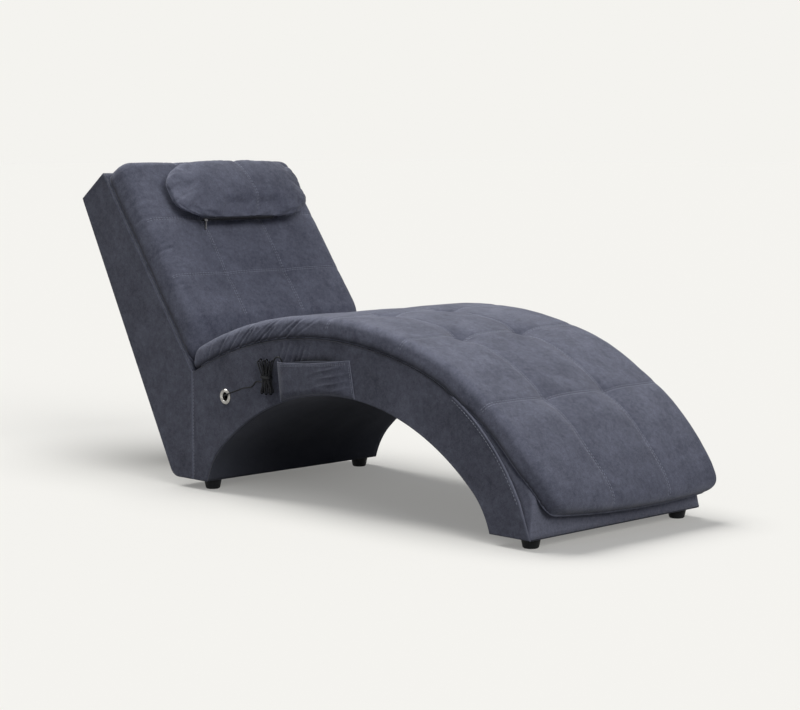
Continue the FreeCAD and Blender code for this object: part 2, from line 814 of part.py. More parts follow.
def with_seams(places, seams, band):
    """Places along a cushion, with three more at each cross seam, each with its pull."""
    kept = [(p, 0.0) for p in places if all(abs(p - seam) > band * SEAM_ROOM for seam in seams)]
    for seam in seams:
        kept += [(seam - band, 0.0), (seam, 1.0), (seam + band, 0.0)]
    return sorted(kept)


def spread(first, last, step):
    count = max(1, round(abs(last - first) / step))
    return [first + (last - first) * i / count for i in range(count + 1)]


def wedge_rise(angle):
    """Height of the foot wedge over the seat line."""
    return S.wedge_height * max(0.0, min(1.0, (angle - WEDGE_START_ANGLE)
                                         / (FOOT_TURN - WEDGE_START_ANGLE)))


def seat_sections():
    band = math.degrees(S.seam_band / S.crown_radius)
    front = SEAT_END_ANGLE - math.degrees(S.end_round / S.foot_radius)
    rear = FOLD_ANGLE - math.degrees(S.seat_thickness / S.crown_radius)
    places = spread(rear, S.crown_turn, SECTION_STEP_DEGREES)
    places += spread(S.crown_turn, front, FOOT_STEP_DEGREES)[1:-1]
    sections = []
    for angle, pull in with_seams(places, SEAT_CROSS_SEAM_ANGLES, band):
        sections.append(seat_section(angle, 1.0, pull))
    for share, fullness in reversed(END_ROUND_SHARES):
        sections.append(seat_section(SEAT_END_ANGLE - (SEAT_END_ANGLE - front) * share, fullness, 0.0))
    return sections


def seat_section(angle, fullness, pull):
    slimming = wedge_rise(angle) / S.wedge_height
    return Section(seat_point(angle, S.soft_gap + wedge_rise(angle)), spoke(angle),
                   HALF - S.seat_side_inset - S.seat_foot_draw * slimming, S.seat_thickness, fullness, pull)


def back_sections():
    full_top = S.back_cushion_top - S.end_round
    seams = [share * S.back_cushion_top for share in BACK_CROSS_SEAM_SHARES]
    places = spread(0, full_top, S.back_thickness)[:-1]
    sections = [Section(back_point(rise, S.soft_gap), OUT_OF_BACK, HALF - S.back_side_inset, S.back_thickness,
                        1.0, pull) for rise, pull in with_seams(places, seams, S.seam_band)]
    for share, fullness in reversed(END_ROUND_SHARES):
        rise = S.back_cushion_top - S.end_round * share
        sections.append(Section(back_point(rise, S.soft_gap), OUT_OF_BACK, HALF - S.back_side_inset,
                                S.back_thickness, fullness))
    return sections


def cushion_solid(sections, inset, x, side):
    """The cushion's space set inwards, cut off at the upright plane where the cushions meet."""
    tip, beside = sections[-1], sections[-2]
    way = (beside.origin - tip.origin).normalize() * inset
    end = Section(tip.origin + way, tip.out, tip.half, tip.height, tip.fullness, tip.pinch)
    wires = [section.wire(inset) for section in sections[:-1] + [end]]
    return Part.makeLoft(wires, True, True).common(beyond(x + side * inset, side))


def make_cushion(name, sections, x, side, recess=None):
    """A foam core in a sewn cover of the same form."""
    outer = cushion_solid(sections, 0, x, side)
    keep_shape(name + "_cover", outer.cut(cushion_solid(sections, S.cushion_skin, x, side)))
    foam = cushion_solid(sections, S.cushion_skin + S.skin_gap, x, side)
    if recess is not None:
        foam = foam.cut(recess)
    keep_shape(name + "_foam", foam)


def make_heating_pad():
    """A thin heating element laid in a pocket of the back foam."""
    out = S.soft_gap + S.back_thickness - S.heater_cover
    place = back_frame(S.heater_rise - S.heater_length / 2, out)
    grown = S.skin_gap
    recess = Part.makeBox(S.heater_length + 2 * grown, S.heater_width + 2 * grown,
                          S.heater_thickness + grown, Vector(-grown, -S.heater_width / 2 - grown, 0))
    recess.Placement = place
    element = document.addObject("Part::Box", "HeaterElement")
    bind(element, Length="heater_length", Width="heater_width", Height="heater_thickness")
    element.Placement = place * Placement(Vector(0, -S.heater_width / 2, 0), Rotation())
    keep(element, "heating_pad")
    return recess


def make_foot_wedge():
    """The upholstered wedge that fills out the foot end, mitred down to the toe."""
    feather = WEDGE_START_ANGLE + S.wedge_span_angle * S.wedge_toe_height / S.wedge_height
    steps = []
    for angle in spread(feather, FOOT_TURN, FOOT_STEP_DEGREES):
        top = seat_point(angle, wedge_rise(angle) - S.soft_gap)
        steps.append((seat_point(angle, S.soft_gap / 2), top))
    brow, brow_top = steps[-1]
    for share in WEDGE_TOE_SHARES:
        base = brow + (TOE - brow) * share
        top = brow_top + (TOE - brow_top) * share
        top.x = max(top.x, base.x + S.wedge_toe_height)
        steps.append((base, top))
    wires = []
    for base, top in steps:
        out = (top - base).Length
        wide = BOARD_OUTER
        narrow = wide - S.wedge_slant * out / S.wedge_height
        corners = (base - ACROSS * wide, base + ACROSS * wide, top + ACROSS * narrow, top - ACROSS * narrow)
        wires.append(Part.makePolygon(list(corners) + [corners[0]]))
    keep_shape("foot_wedge", Part.makeLoft(wires, True, True))


# Pillow
def pillow_origin():
    return back_point(S.pillow_rise, S.soft_gap + S.back_thickness + S.skin_gap) + ACROSS * S.pillow_y


def pillow_wire(share, fullness, inset):
    """A rounded section across the pillow: flat below, full above."""
    half = S.pillow_height / 2 * (1 - PILLOW_END_SHARE * (1 - fullness)) - inset
    top = S.pillow_thickness * (1 + fullness) / 2 - inset
    base = S.pillow_thickness * (1 - fullness) / 2 + inset
    bend = S.pillow_belly * fullness
    across = share * (S.pillow_length / 2 - inset)
    origin = pillow_origin() + ACROSS * across

    def place(along, out):
        return origin + ALONG_BACK * along + OUT_OF_BACK * out

    shoulder = half * PILLOW_SHOULDER_SHARE
    low_rear, low_front = place(-shoulder, base + bend / 2), place(shoulder, base + bend / 2)
    high_rear, high_front = place(-shoulder, top - 2 * bend), place(shoulder, top - 2 * bend)
    middle = (base + top - bend) / 2
    return Part.Wire([
        Part.Arc(low_rear, place(0, base), low_front).toShape(),
        Part.Arc(low_front, place(half, middle), high_front).toShape(),
        Part.Arc(high_front, place(0, top), high_rear).toShape(),
        Part.Arc(high_rear, place(-half, middle), low_rear).toShape(),
    ])


def pillow_space(inset):
    return Part.makeLoft([pillow_wire(share, fullness, inset) for share, fullness in PILLOW_SHARES],
                         True, True)


def make_pillow():
    keep_shape("pillow_cover", pillow_space(0).cut(pillow_space(S.cushion_skin)))
    keep_shape("pillow_filling", pillow_space(S.cushion_skin + S.skin_gap))


def zip_frame():
    """A placement on the pillow's lower side, with X across, Y out of the back, Z away from the pillow."""
    rear = pillow_origin() - ALONG_BACK * (S.pillow_height / 2 + S.skin_gap)
    middle = OUT_OF_BACK * ((S.pillow_thickness - S.pillow_belly) / 2)
    return frame_at(rear + middle + ACROSS * S.zip_side, ACROSS, ALONG_BACK * -1)


def make_zip():
    tape = body("zip_tape", zip_frame())
    plan = sketch(tape, "XY_Plane")
    draw_rectangle(plan, "-zip_length / 2", "-zip_width / 2", "zip_length / 2", "zip_width / 2")
    pad(tape, plan, "zip_thickness")
    start = Vector(-S.zip_length / 2 + S.zip_slider_length, 0, S.zip_thickness + S.skin_gap)
    slider = blank("zip_slider_blank", zip_frame() * Placement(start, Rotation()))
    plan = sketch(slider, "XY_Plane")
    draw_rectangle(plan, "-zip_slider_length / 2", "-zip_slider_width / 2",
                   "zip_slider_length / 2", "zip_slider_width / 2")
    block = pad(slider, plan, "zip_slider_height")
    round_edges(slider, block, "zip_slider_edge", is_upright)
    slot = sketch(slider, "YZ_Plane")
    gap = "(zip_pull_width / 2 + skin_gap)"
    draw_rectangle(slot, "-" + gap, "zip_slider_floor", gap, "zip_slider_height + overrun")
    pocket_both_ways(slider, slot, "zip_slider_length * 2")
    pivot = slider.Placement.multVec(Vector(0, 0, S.zip_pin_height))
    pin_start = pivot - OUT_OF_BACK * (S.zip_slider_width / 2)
    pin = rod(pin_start, OUT_OF_BACK, S.zip_slider_width, S.zip_pin_radius)
    keep_shape("zip_slider", slider.Shape.fuse(pin).removeSplitter())
    make_zip_pull(pivot)


def pocket_both_ways(owner, made, depth):
    feature = owner.newObject("PartDesign::Pocket", owner.Name + "Slot")
    feature.Profile = made
    feature.Midplane = True
    bind(feature, Length=depth)
    document.recompute()
    return feature


def make_zip_pull(pivot):
    """A flat tab that hangs down along the back from the slider's pin, leaning a little."""
    lean = Placement(Vector(), Rotation(Vector(1, 0, 0), -S.zip_pull_lean))
    pull = body("zip_pull", frame_at(pivot, OUT_OF_BACK, ACROSS * -1) * lean)
    plan = sketch(pull, "XY_Plane")
    head = "zip_pull_thickness / 2"
    draw_rectangle(plan, "-zip_pull_width / 2", head + " - zip_pull_length", "zip_pull_width / 2", head)
    tab = pad(pull, plan, "zip_pull_thickness", middle=True)
    round_edges(pull, tab, "zip_pull_thickness / 2", is_upright)
    eye = sketch(pull, "YZ_Plane")
    draw_circle(eye, "0", "0", "zip_pin_radius + hole_play")
    pocket_both_ways(pull, eye, "zip_pull_width * 2")


# Side pocket
def pocket_outline(rise):
    """The pocket's outline on the side, along the arch, with its rim raised."""
    radius = S.arch_radius + S.pocket_hem

    def on_arch(x):
        across = x - ARCH_CENTRE.x
        return ARCH_CENTRE + Vector(across, 0, math.sqrt(radius ** 2 - across ** 2))

    rear_base, front_base = on_arch(S.pocket_rear_x + S.pocket_side_lean), on_arch(S.pocket_front_x)
    rear_rim, front_rim = pocket_rim()
    rear_up = (rear_rim - rear_base).normalize() * rise
    front_up = (front_rim - front_base).normalize() * rise
    return Outline(((rear_base, ARCH_CENTRE, -1), (front_base, None, 0),
                    (front_rim + front_up, None, 0), (rear_rim + rear_up, None, 0)))


def pocket_rim():
    front_x = S.pocket_front_x - S.pocket_side_lean
    return Vector(S.pocket_rear_x, 0, S.pocket_rear_rim), Vector(front_x, 0, S.pocket_front_rim)


def pocket_space(inset, depth):
    """A shallow tray on the side that narrows outwards and runs on above the rim."""
    outline = pocket_outline(S.pocket_depth)
    rings = []
    for out, inward in ((0, inset), (depth, inset + S.pocket_slope)):
        ring = outline.whole(inward)
        ring.translate(ACROSS * -(HALF + out))
        rings.append(ring)
    return Part.makeLoft(rings, True, True)


def make_pocket():
    tray = pocket_space(0, S.pocket_depth)
    hollow = pocket_space(S.pocket_wall, S.pocket_depth - S.pocket_wall)
    rear, front = pocket_rim()
    along = (front - rear).normalize() * S.pocket_front_x
    drop = Vector(0, 0, -S.arch_height)
    corners = [rear - along, rear - along + drop, front + along + drop, front + along, rear - along]
    under_rim = slab(Part.makePolygon(corners), -HALF - S.pocket_depth, -HALF)
    keep_shape("side_pocket", tray.common(under_rim).cut(hollow))


# Eyelet
def eyelet_frame(y):
    """A placement on the eyelet's axis, with Z pointing away from the lounger's side."""
    return Placement(Vector(S.eyelet_x, y, S.eyelet_height), Rotation(Vector(1, 0, 0), 90))


def eyelet_hole():
    start = Vector(S.eyelet_x, -HALF - S.overrun, S.eyelet_height)
    depth = S.cover_thickness + S.board_thickness + 2 * S.overrun
    return rod(start, ACROSS, depth, S.eyelet_tube_radius + S.hole_play)


def make_eyelet():
    eyelet = body("cable_eyelet", eyelet_frame(-HALF))
    half = sketch(eyelet, "XZ_Plane")
    through = "-(cover_thickness + board_thickness + washer_thickness)"
    draw_polygon(half, (
        ("eyelet_bore_radius", through), ("eyelet_tube_radius", through), ("eyelet_tube_radius", "0"),
        *((("eyelet_bore_radius + (eyelet_radius - eyelet_bore_radius) * %s" % across),
           "eyelet_dome * %s" % up) for across, up in EYELET_SHARES)))
    turn_profile(eyelet, half)
    washer = body("eyelet_washer", eyelet_frame(-BOARD_INNER + S.washer_thickness))
    plan = sketch(washer, "XY_Plane")
    draw_circle(plan, "0", "0", "eyelet_radius")
    draw_circle(plan, "0", "0", "eyelet_tube_radius + hole_play")
    pad(washer, plan, "washer_thickness")


# Cable
def rounded_path(points):
    """Straight runs joined by tangent arcs as large as the runs allow."""
    edges = []
    radii = []
    last = points[0]
    for before, corner, after in zip(points, points[1:], points[2:]):
        shorter = min((corner - before).Length, (after - corner).Length)
        turn = (corner - before).getAngle(after - corner)
        radius = RUN_SHARE * shorter / math.tan(turn / 2)
        start, centre, end = round_corner(before, corner, after, radius)
        middle = centre + (corner - centre).normalize() * radius
        edges.append(Part.LineSegment(last, start).toShape())
        edges.append(Part.Arc(start, middle, end).toShape())
        radii.append(radius)
        last = end
    edges.append(Part.LineSegment(last, points[-1]).toShape())
    return Part.Wire(edges), radii


def tube(path, radius):
    """A round bar along a path."""
    start = path.OrderedVertexes[0].Point
    edge = path.OrderedEdges[0]
    way = edge.tangentAt(edge.FirstParameter)
    if (edge.valueAt(edge.FirstParameter) - start).Length > TOLERANCE:
        way = edge.tangentAt(edge.LastParameter) * -1
    ring = Part.Wire([Part.Circle(start, way, radius).toShape()])
    return path.makePipeShell([ring], True, False)


def make_cable(label, points):
    path, radii = rounded_path(points)
    made = tube(path, S.cable_radius)
    section = math.pi * S.cable_radius ** 2
    print("%s: length %.0f mm, volume share %.4f, least radius %.1f mm, radii %s" % (
        label, path.Length, made.Volume / (section * path.Length), min(radii),
        " ".join("%.0f" % r for r in radii)))
    keep_shape(label, made)


def hank_x(index, pitch):
    return S.hank_x + (index - S.hank_loops / 2) * pitch


def lean(first, last):
    """Two equal tangent arcs, or a straight line, between two upright ends."""
    if abs(last.x - first.x) < TOLERANCE:
        return [Part.LineSegment(first, last).toShape()]
    middle = (first + last) / 2
    halves = []
    for start, end, upright in ((first, middle, first), (middle, last, last)):
        chord = end - start
        reach = chord.Length ** 2 / (2 * abs(chord.x))
        towards = 1 if (last.x > first.x) == (upright is first) else -1
        centre = Vector(upright.x + towards * reach, upright.y, upright.z)
        bow = ((start - centre).normalize() + (end - centre).normalize()).normalize()
        halves.append(Part.Arc(start, centre + bow * reach, end).toShape())
    return halves


def quarter_turns(start, end, over):
    """A half turn between the rear and front strands, as two quarter turns."""
    centre = (start + end) / 2
    radius = (end - start).Length / 2
    top = centre + Vector(0, 0, over * radius)
    edges = []
    for first, last in ((start, top), (top, end)):
        bow = ((first - centre).normalize() + (last - centre).normalize()).normalize()
        edges.append(Part.Arc(first, centre + bow * radius, last).toShape())
    return edges


def hank_start():
    bend = S.hank_entry_radius
    run = bend + 2 * S.cable_radius
    return Vector(hank_x(0, S.hank_waist_pitch) - run, S.hank_rear_y, S.hank_middle - bend)


def hank_end():
    rise = S.hank_middle + 2 * S.cable_radius
    return Vector(hank_x(S.hank_loops, S.hank_waist_pitch), S.hank_rear_y, rise)


def hank_path():
    """Upright loops drawn together at the waist, from the side cable to the pocket's stretch."""
    rear, front = S.hank_rear_y, S.hank_rear_y - 2 * S.hank_bend_radius
    middle, reach = S.hank_middle, S.hank_half_height

    def waist(index, y):
        return Vector(hank_x(index, S.hank_waist_pitch), y, middle)

    def end(index, y, way):
        return Vector(hank_x(index, S.hank_end_pitch), y, middle + way * reach)

    entry = waist(0, rear)
    bend = S.hank_entry_radius
    start = hank_start()
    low = start + Vector(2 * S.cable_radius, 0, 0)
    turn = Vector(math.sin(math.pi / 4), 0, 1 - math.cos(math.pi / 4)) * bend
    edges = [Part.LineSegment(start, low).toShape(), Part.Arc(low, low + turn, entry).toShape()]
    loops = int(S.hank_loops)
    for index in range(loops):
        edges += lean(waist(index, rear), end(index, rear, 1))
        edges += quarter_turns(end(index, rear, 1), end(index, front, 1), 1)
        edges += lean(end(index, front, 1), waist(index + 0.5, front))
        edges += lean(waist(index + 0.5, front), end(index + 1, front, -1))
        edges += quarter_turns(end(index + 1, front, -1), end(index + 1, rear, -1), -1)
        edges += lean(end(index + 1, rear, -1), waist(index + 1, rear))
    edges.append(Part.LineSegment(waist(loops, rear), hank_end()).toShape())
    return Part.Wire(edges)


def least_gap(path, radius):
    """The smallest gap between stretches of a path that are not next to each other."""
    count = int(path.Length / radius)
    points = path.discretize(Number=count)
    least = min(points[i].distanceToPoint(points[j])
                for i in range(count) for j in range(i + NEARBY_POINTS, count))
    return least - 2 * radius


def make_hank():
    path = hank_path()
    gap = least_gap(path, S.cable_radius)
    print("hank: length %.0f mm, least gap to itself %.2f mm" % (path.Length, gap))
    keep_shape("cable_hank", tube(path, S.cable_radius))
    half_x = (S.hank_loops / 2) * S.hank_waist_pitch + S.cable_radius + S.tie_play
    half_y = S.hank_bend_radius + S.cable_radius + S.tie_play
    centre = Vector(S.hank_x, S.hank_rear_y - S.hank_bend_radius, S.hank_middle)
    band = rounded_block(centre, half_x + S.tie_thickness, half_y + S.tie_thickness, S.tie_width)
    keep_shape("cable_tie", band.cut(rounded_block(centre, half_x, half_y, S.tie_width + S.overrun)))


def rounded_block(centre, half_x, half_y, height):
    """An upright block with rounded corners."""
    block = Part.makeBox(2 * half_x, 2 * half_y, height,
                         centre - Vector(half_x, half_y, height / 2))
    return block.makeFillet(half_y / 2, [edge for edge in block.Edges if is_upright(edge)])


# Hand control
def handset_frame():
    """X along the hand control, Y up, Z out of its button face, lying on the pocket's curved base."""
    depth = S.handset_side_gap + S.handset_thickness
    lift = S.pocket_hem + S.pocket_wall + S.handset_seat_gap
    lift += S.pocket_slope * depth / (S.pocket_depth - S.pocket_wall)
    along = spoke(S.handset_angle + 90)
    corner = ARCH_CENTRE + spoke(S.handset_angle) * (S.arch_radius + lift) - along * (S.handset_length / 2)
    corner.y = -HALF - S.handset_side_gap
    return frame_at(corner, along, ACROSS * -1)


def shell_plan(owner, margin="0"):
    plan = sketch(owner, "XY_Plane")
    draw_rectangle(plan, margin, margin, "handset_length - (%s)" % margin, "handset_height - (%s)" % margin)
    return plan


def make_handset_shells():
    lower = body("handset_rear_shell", handset_frame())
    block = pad(lower, shell_plan(lower), "handset_split")
    round_edges(lower, block, "handset_corner", is_upright)
    hollow = shell_plan(lower, "handset_wall")
    hollow.AttachmentOffset = Placement(Vector(0, 0, S.handset_split), Rotation())
    hollow.setExpression("AttachmentOffset.Base.z", formula("handset_split"))
    pocket(lower, hollow, "handset_split - handset_wall")
    posts = sketch(lower, "XY_Plane")
    posts.setExpression("AttachmentOffset.Base.z", formula("handset_wall"))
    for across in ("handset_corner + handset_wall", "handset_length - handset_corner - handset_wall"):
        for up in ("handset_corner + handset_wall", "handset_height - handset_corner - handset_wall"):
            draw_circle(posts, across, up, "circuit_post_radius")
    pad(lower, posts, "circuit_height - handset_wall")

    joint = Placement(Vector(0, 0, S.handset_split), Rotation())
    upper = body("handset_front_shell", handset_frame() * joint)
    depth = "(handset_thickness - handset_split)"
    block = pad(upper, shell_plan(upper), depth)
    round_edges(upper, block, "handset_corner", is_upright)
    pocket(upper, shell_plan(upper, "handset_wall"), depth + " - handset_wall", reverse=True)
    openings = sketch(upper, "XY_Plane")
    for number in range(len(BUTTONS)):
        draw_circle(openings, button_across(number), "handset_height / 2", "button_radius + button_play")
    pocket(upper, openings, depth + " + overrun", reverse=True)


def button_across(number):
    return "handset_length / 2 + button_spacing * (%.1f)" % (number - (len(BUTTONS) - 1) / 2)


def make_handset_inside():
    board = body("handset_circuit", handset_frame())
    plan = shell_plan(board, "circuit_margin")
    plan.setExpression("AttachmentOffset.Base.z", formula("circuit_height"))
    pad(board, plan, "circuit_thickness")
    switches = sketch(board, "XY_Plane")
    switches.setExpression("AttachmentOffset.Base.z", formula("circuit_height + circuit_thickness"))
    for number in range(len(BUTTONS)):
        middle = button_across(number)
        draw_rectangle(switches, middle + " - switch_side / 2", "handset_height / 2 - switch_side / 2",
                       middle + " + switch_side / 2", "handset_height / 2 + switch_side / 2")
    pad(board, switches, "switch_height")
    relief = body("cable_relief", handset_frame() * Placement(
        Vector(0, S.handset_height / 2, S.handset_split), Rotation(ACROSS, -90)))
    half = sketch(relief, "XZ_Plane")
    draw_polygon(half, (("0", "0"), ("relief_radius", "0"), ("relief_tip_radius", "relief_length"),
                        ("0", "relief_length")))
    turn_profile(relief, half)


def handset_cable_points():
    """The cable's last points, straight into the strain relief."""
    place = handset_frame()
    return [place.multVec(Vector(-S.relief_length - run, S.handset_height / 2, S.handset_split))
            for run in (S.relief_run, 0)]


def make_buttons():
    """Push buttons, each with a flange that keeps it under the front shell."""
    flange_top = S.handset_thickness - S.handset_wall - S.button_roof_gap
    for number, label in enumerate(BUTTONS):
        middle = S.handset_length / 2 + S.button_spacing * (number - (len(BUTTONS) - 1) / 2)
        place = Placement(Vector(middle, S.handset_height / 2, flange_top - S.button_flange), Rotation())
        button = body(label, handset_frame() * place)
        plan = sketch(button, "XY_Plane")
        draw_circle(plan, "0", "0", "button_flange_radius")
        pad(button, plan, "button_flange")
        stem = sketch(button, "XY_Plane")
        draw_circle(stem, "0", "0", "button_radius")
        pad(button, stem, "button_flange + button_roof_gap + handset_wall + button_proud")


# Control box and power inlet
def make_control_box():
    """A closed electronics box on four spacers inside the right side board."""
    corner = Vector(S.eyelet_x + S.box_reach - S.box_length, -BOARD_INNER + S.box_standoff,
                    S.eyelet_height - S.box_height / 2)
    case = Part.makeBox(S.box_length, S.box_depth, S.box_height, corner)
    hollow = Part.makeBox(S.box_length - 2 * S.box_wall, S.box_depth - 2 * S.box_wall,
                          S.box_height - 2 * S.box_wall, corner + Vector(S.box_wall, S.box_wall, S.box_wall))
    case = case.cut(hollow)
    for x in (S.box_post_radius, S.box_length - S.box_post_radius):
        for z in (S.box_post_radius, S.box_height - S.box_post_radius):
            start = Vector(corner.x + x, -BOARD_INNER, corner.z + z)
            case = case.fuse(rod(start, ACROSS, S.box_standoff, S.box_post_radius))
    keep_shape("control_box", case.removeSplitter())


def inlet_start():
    return on_flank(S.inlet_rise, S.inlet_flange) + ACROSS * S.inlet_y


def inlet_hole():
    inward = left_of(FLANK_DOWN)
    depth = S.inlet_flange + S.cover_thickness + S.rear_board_thickness + S.overrun
    return rod(inlet_start(), inward, depth, S.inlet_radius + S.hole_play)


def make_power_inlet():
    inward = left_of(FLANK_DOWN)
    flange = rod(inlet_start(), inward, S.inlet_flange, S.inlet_flange_radius)
    barrel = rod(inlet_start(), inward, S.inlet_length, S.inlet_radius)
    bore = rod(inlet_start(), inward, S.inlet_bore_depth, S.inlet_bore_radius)
    keep_shape("power_inlet", flange.fuse(barrel).removeSplitter().cut(bore))


# Vibration motors
def motor_places():
    """Each motor's name and its placement under a deck, Z out of the deck."""
    flat = DECK_BASE - S.rail_play
    curved = flat - S.motor_length ** 2 / (8 * (S.crown_radius + DECK_BASE))
    return (
        ("upper_back", back_frame(S.upper_motor_rise, flat)),
        ("lower_back", back_frame(S.lower_motor_rise, flat)),
        ("hip", seat_frame(S.hip_motor_angle, curved)),
        ("thigh", seat_frame(S.thigh_motor_angle, curved)),
    )


def make_motors():
    cases = []
    for name, place in motor_places():
        case = blank(name + "_motor_blank", place)
        block = sketch(case, "XY_Plane")
        draw_rectangle(block, "-motor_length / 2", "-motor_width / 2", "motor_length / 2", "motor_width / 2")
        pad(case, block, "motor_height", reverse=True)
        chamber = sketch(case, "XZ_Plane")
        draw_circle(chamber, "0", "-motor_height / 2", "motor_bore_radius")
        pocket_both_ways(case, chamber, "motor_width - 2 * motor_wall")
        bearings = sketch(case, "XZ_Plane")
        draw_circle(bearings, "0", "-motor_height / 2", "motor_shaft_radius + shaft_play")
        pocket_both_ways(case, bearings, "motor_width - 2 * motor_lid + motor_wall")
        cases.append(case.Shape)
        centre = place.multVec(Vector(0, 0, -S.motor_height / 2))
        make_weight(name + "_motor_weight", Placement(centre, Rotation(Vector(1, 0, 0), 90)))
    keep_shape("motor_cases", Part.makeCompound(cases))


def make_weight(label, place):
    """A half disc that hangs from its shaft and shakes the case as it turns."""
    weight = body(label, place)
    shaft = sketch(weight, "XY_Plane")
    draw_circle(shaft, "0", "0", "motor_shaft_radius")
    pad(weight, shaft, "motor_width - 2 * motor_lid", middle=True)
    half_disc = sketch(weight, "XY_Plane")
    left = Vector(-1, 0, 0)
    arc = half_disc.addGeometry(Part.Arc(left, Vector(0, -1, 0), Vector(1, 0, 0)))
    flat = half_disc.addGeometry(Part.LineSegment(Vector(1, 0, 0), left))
    half_disc.addConstraint(Sketcher.Constraint("Coincident", arc, 2, flat, 1))
    half_disc.addConstraint(Sketcher.Constraint("Coincident", flat, 2, arc, 1))
    half_disc.addConstraint(Sketcher.Constraint("Coincident", arc, 3, -1, 1))
    half_disc.addConstraint(Sketcher.Constraint("PointOnObject", arc, 1, -1))
    held = half_disc.addConstraint(Sketcher.Constraint("Radius", arc, 1.0))
    half_disc.setExpression("Constraints[%d]" % held, formula("weight_radius"))
    pad(weight, half_disc, "weight_length", middle=True)


# The whole lounger
def make_lounger():
    make_side_boards([eyelet_hole()])
    make_rails()
    make_decks()
    make_rear_board([inlet_hole()])
    keep_shape("frame_screws", Part.makeCompound(screw_set(-1, 0) + screw_set(1, 0)))
    make_foot_blocks()
    make_feet()
    make_foot_fasteners()
    make_covers([eyelet_hole()], [inlet_hole()])
    make_foot_wedge()
    make_cushion("seat_cushion", seat_sections(), S.fold_x + S.meeting_gap, 1)
    recess = make_heating_pad()
    make_cushion("back_cushion", back_sections(), S.fold_x - S.meeting_gap, -1, recess)
    make_pillow()
    make_zip()
    make_pocket()
    make_eyelet()
    make_cable("hand_cable", [Vector(*point) for point in CABLE_ROUTE] + [hank_start()])
    make_hank()
    make_cable("hand_cable_end", [hank_end()] + [Vector(*point) for point in CABLE_END_ROUTE]
               + handset_cable_points())
    make_handset_shells()
    make_handset_inside()
    make_buttons()
    make_control_box()
    make_power_inlet()
    make_motors()


def check_and_write():
    document.recompute()
    for thing in document.Objects:
        if "Invalid" in thing.State or "Error" in thing.State:
            raise ValueError("%s (%s) failed: %s" % (thing.Name, thing.Label, thing.State))
    for thing in SUB_PARTS:
        if thing.Shape.isNull() or not thing.Shape.isValid() or thing.Shape.Volume <= 0:
            raise ValueError("%s has no valid shape" % thing.Label)
    os.makedirs("parts", exist_ok=True)
    for thing in SUB_PARTS:
        thing.Shape.exportStep("parts/%s.step" % thing.Label)
    print("%d sub-parts" % len(SUB_PARTS))


make_lounger()
check_and_write()
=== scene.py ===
import json
import math
import random

import bmesh
import bpy
import numpy as np
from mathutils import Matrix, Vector, geometry, noise
from mathutils.bvhtree import BVHTree


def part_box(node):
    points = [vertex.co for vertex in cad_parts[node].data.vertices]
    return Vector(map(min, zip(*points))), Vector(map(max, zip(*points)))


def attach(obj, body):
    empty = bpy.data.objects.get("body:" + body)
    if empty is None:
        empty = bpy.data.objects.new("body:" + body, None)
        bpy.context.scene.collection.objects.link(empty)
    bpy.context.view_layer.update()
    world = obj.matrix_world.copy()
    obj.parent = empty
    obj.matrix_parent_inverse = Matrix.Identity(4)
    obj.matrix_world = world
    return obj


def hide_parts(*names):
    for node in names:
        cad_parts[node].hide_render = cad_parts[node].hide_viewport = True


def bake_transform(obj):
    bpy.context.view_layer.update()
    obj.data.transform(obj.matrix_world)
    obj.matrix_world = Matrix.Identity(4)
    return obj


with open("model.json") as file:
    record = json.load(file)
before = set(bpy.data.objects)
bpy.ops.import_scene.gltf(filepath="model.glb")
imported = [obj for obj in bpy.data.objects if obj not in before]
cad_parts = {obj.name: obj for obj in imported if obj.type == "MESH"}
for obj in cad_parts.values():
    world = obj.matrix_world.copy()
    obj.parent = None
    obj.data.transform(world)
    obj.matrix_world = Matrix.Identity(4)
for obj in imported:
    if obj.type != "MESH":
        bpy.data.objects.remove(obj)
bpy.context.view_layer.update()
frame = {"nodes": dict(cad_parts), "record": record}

SCENE = bpy.context.scene
NODES = frame["nodes"]
MM = 0.001
RNG = random.Random(41)

# Side outline of the frame, in millimetres and degrees, as the part's source has it
CROWN_RADIUS, FOOT_RADIUS, ARCH_RADIUS, HAUNCH_RADIUS = 933.0, 467.0, 560.0, 172.0
CROWN_TURN, ARCH_TURN, BACK_TILT, FLANK_TILT = 17.3, 42.7, 36.3, 28.1
HALF, BOARD_OUTER, SOLE, COVER = 263.0, 259.0, 21.0, 4.0
FOLD_X, BACK_LENGTH, BACK_DEPTH, HEEL_RADIUS = -328.0, 544.0, 101.0, 30.0
SEAT_THICK, BACK_THICK, SOFT_GAP = 46.0, 66.0, 0.7
WEDGE_HEIGHT, WEDGE_SPAN = 27.0, 29.0


def spoke(angle):
    return np.array((math.sin(math.radians(angle)), math.cos(math.radians(angle))))


CROWN = np.array((98.0, 365.0 - CROWN_RADIUS))
FOOT = CROWN + spoke(CROWN_TURN) * (CROWN_RADIUS - FOOT_RADIUS)
ARCH = np.array((146.0, 249.0 - ARCH_RADIUS))
FOLD_ANGLE = math.degrees(math.asin((FOLD_X - CROWN[0]) / CROWN_RADIUS))
FOOT_TURN = math.degrees(math.acos((SOLE + 67.9 - FOOT[1]) / FOOT_RADIUS))
FOLD = CROWN + spoke(FOLD_ANGLE) * CROWN_RADIUS
UP, OUT = spoke(-BACK_TILT), spoke(90 - BACK_TILT)
CROWN_LENGTH = math.radians(CROWN_TURN - FOLD_ANGLE) * CROWN_RADIUS
SEAT_LENGTH = CROWN_LENGTH + math.radians(FOOT_TURN + 4.5 - CROWN_TURN) * FOOT_RADIUS


def solid(point, y):
    """A point of the side plane, set across."""
    return np.array((point[0], y, point[1]))


def angle_of(centre, point):
    return math.degrees(math.atan2(point[0] - centre[0], point[1] - centre[1]))


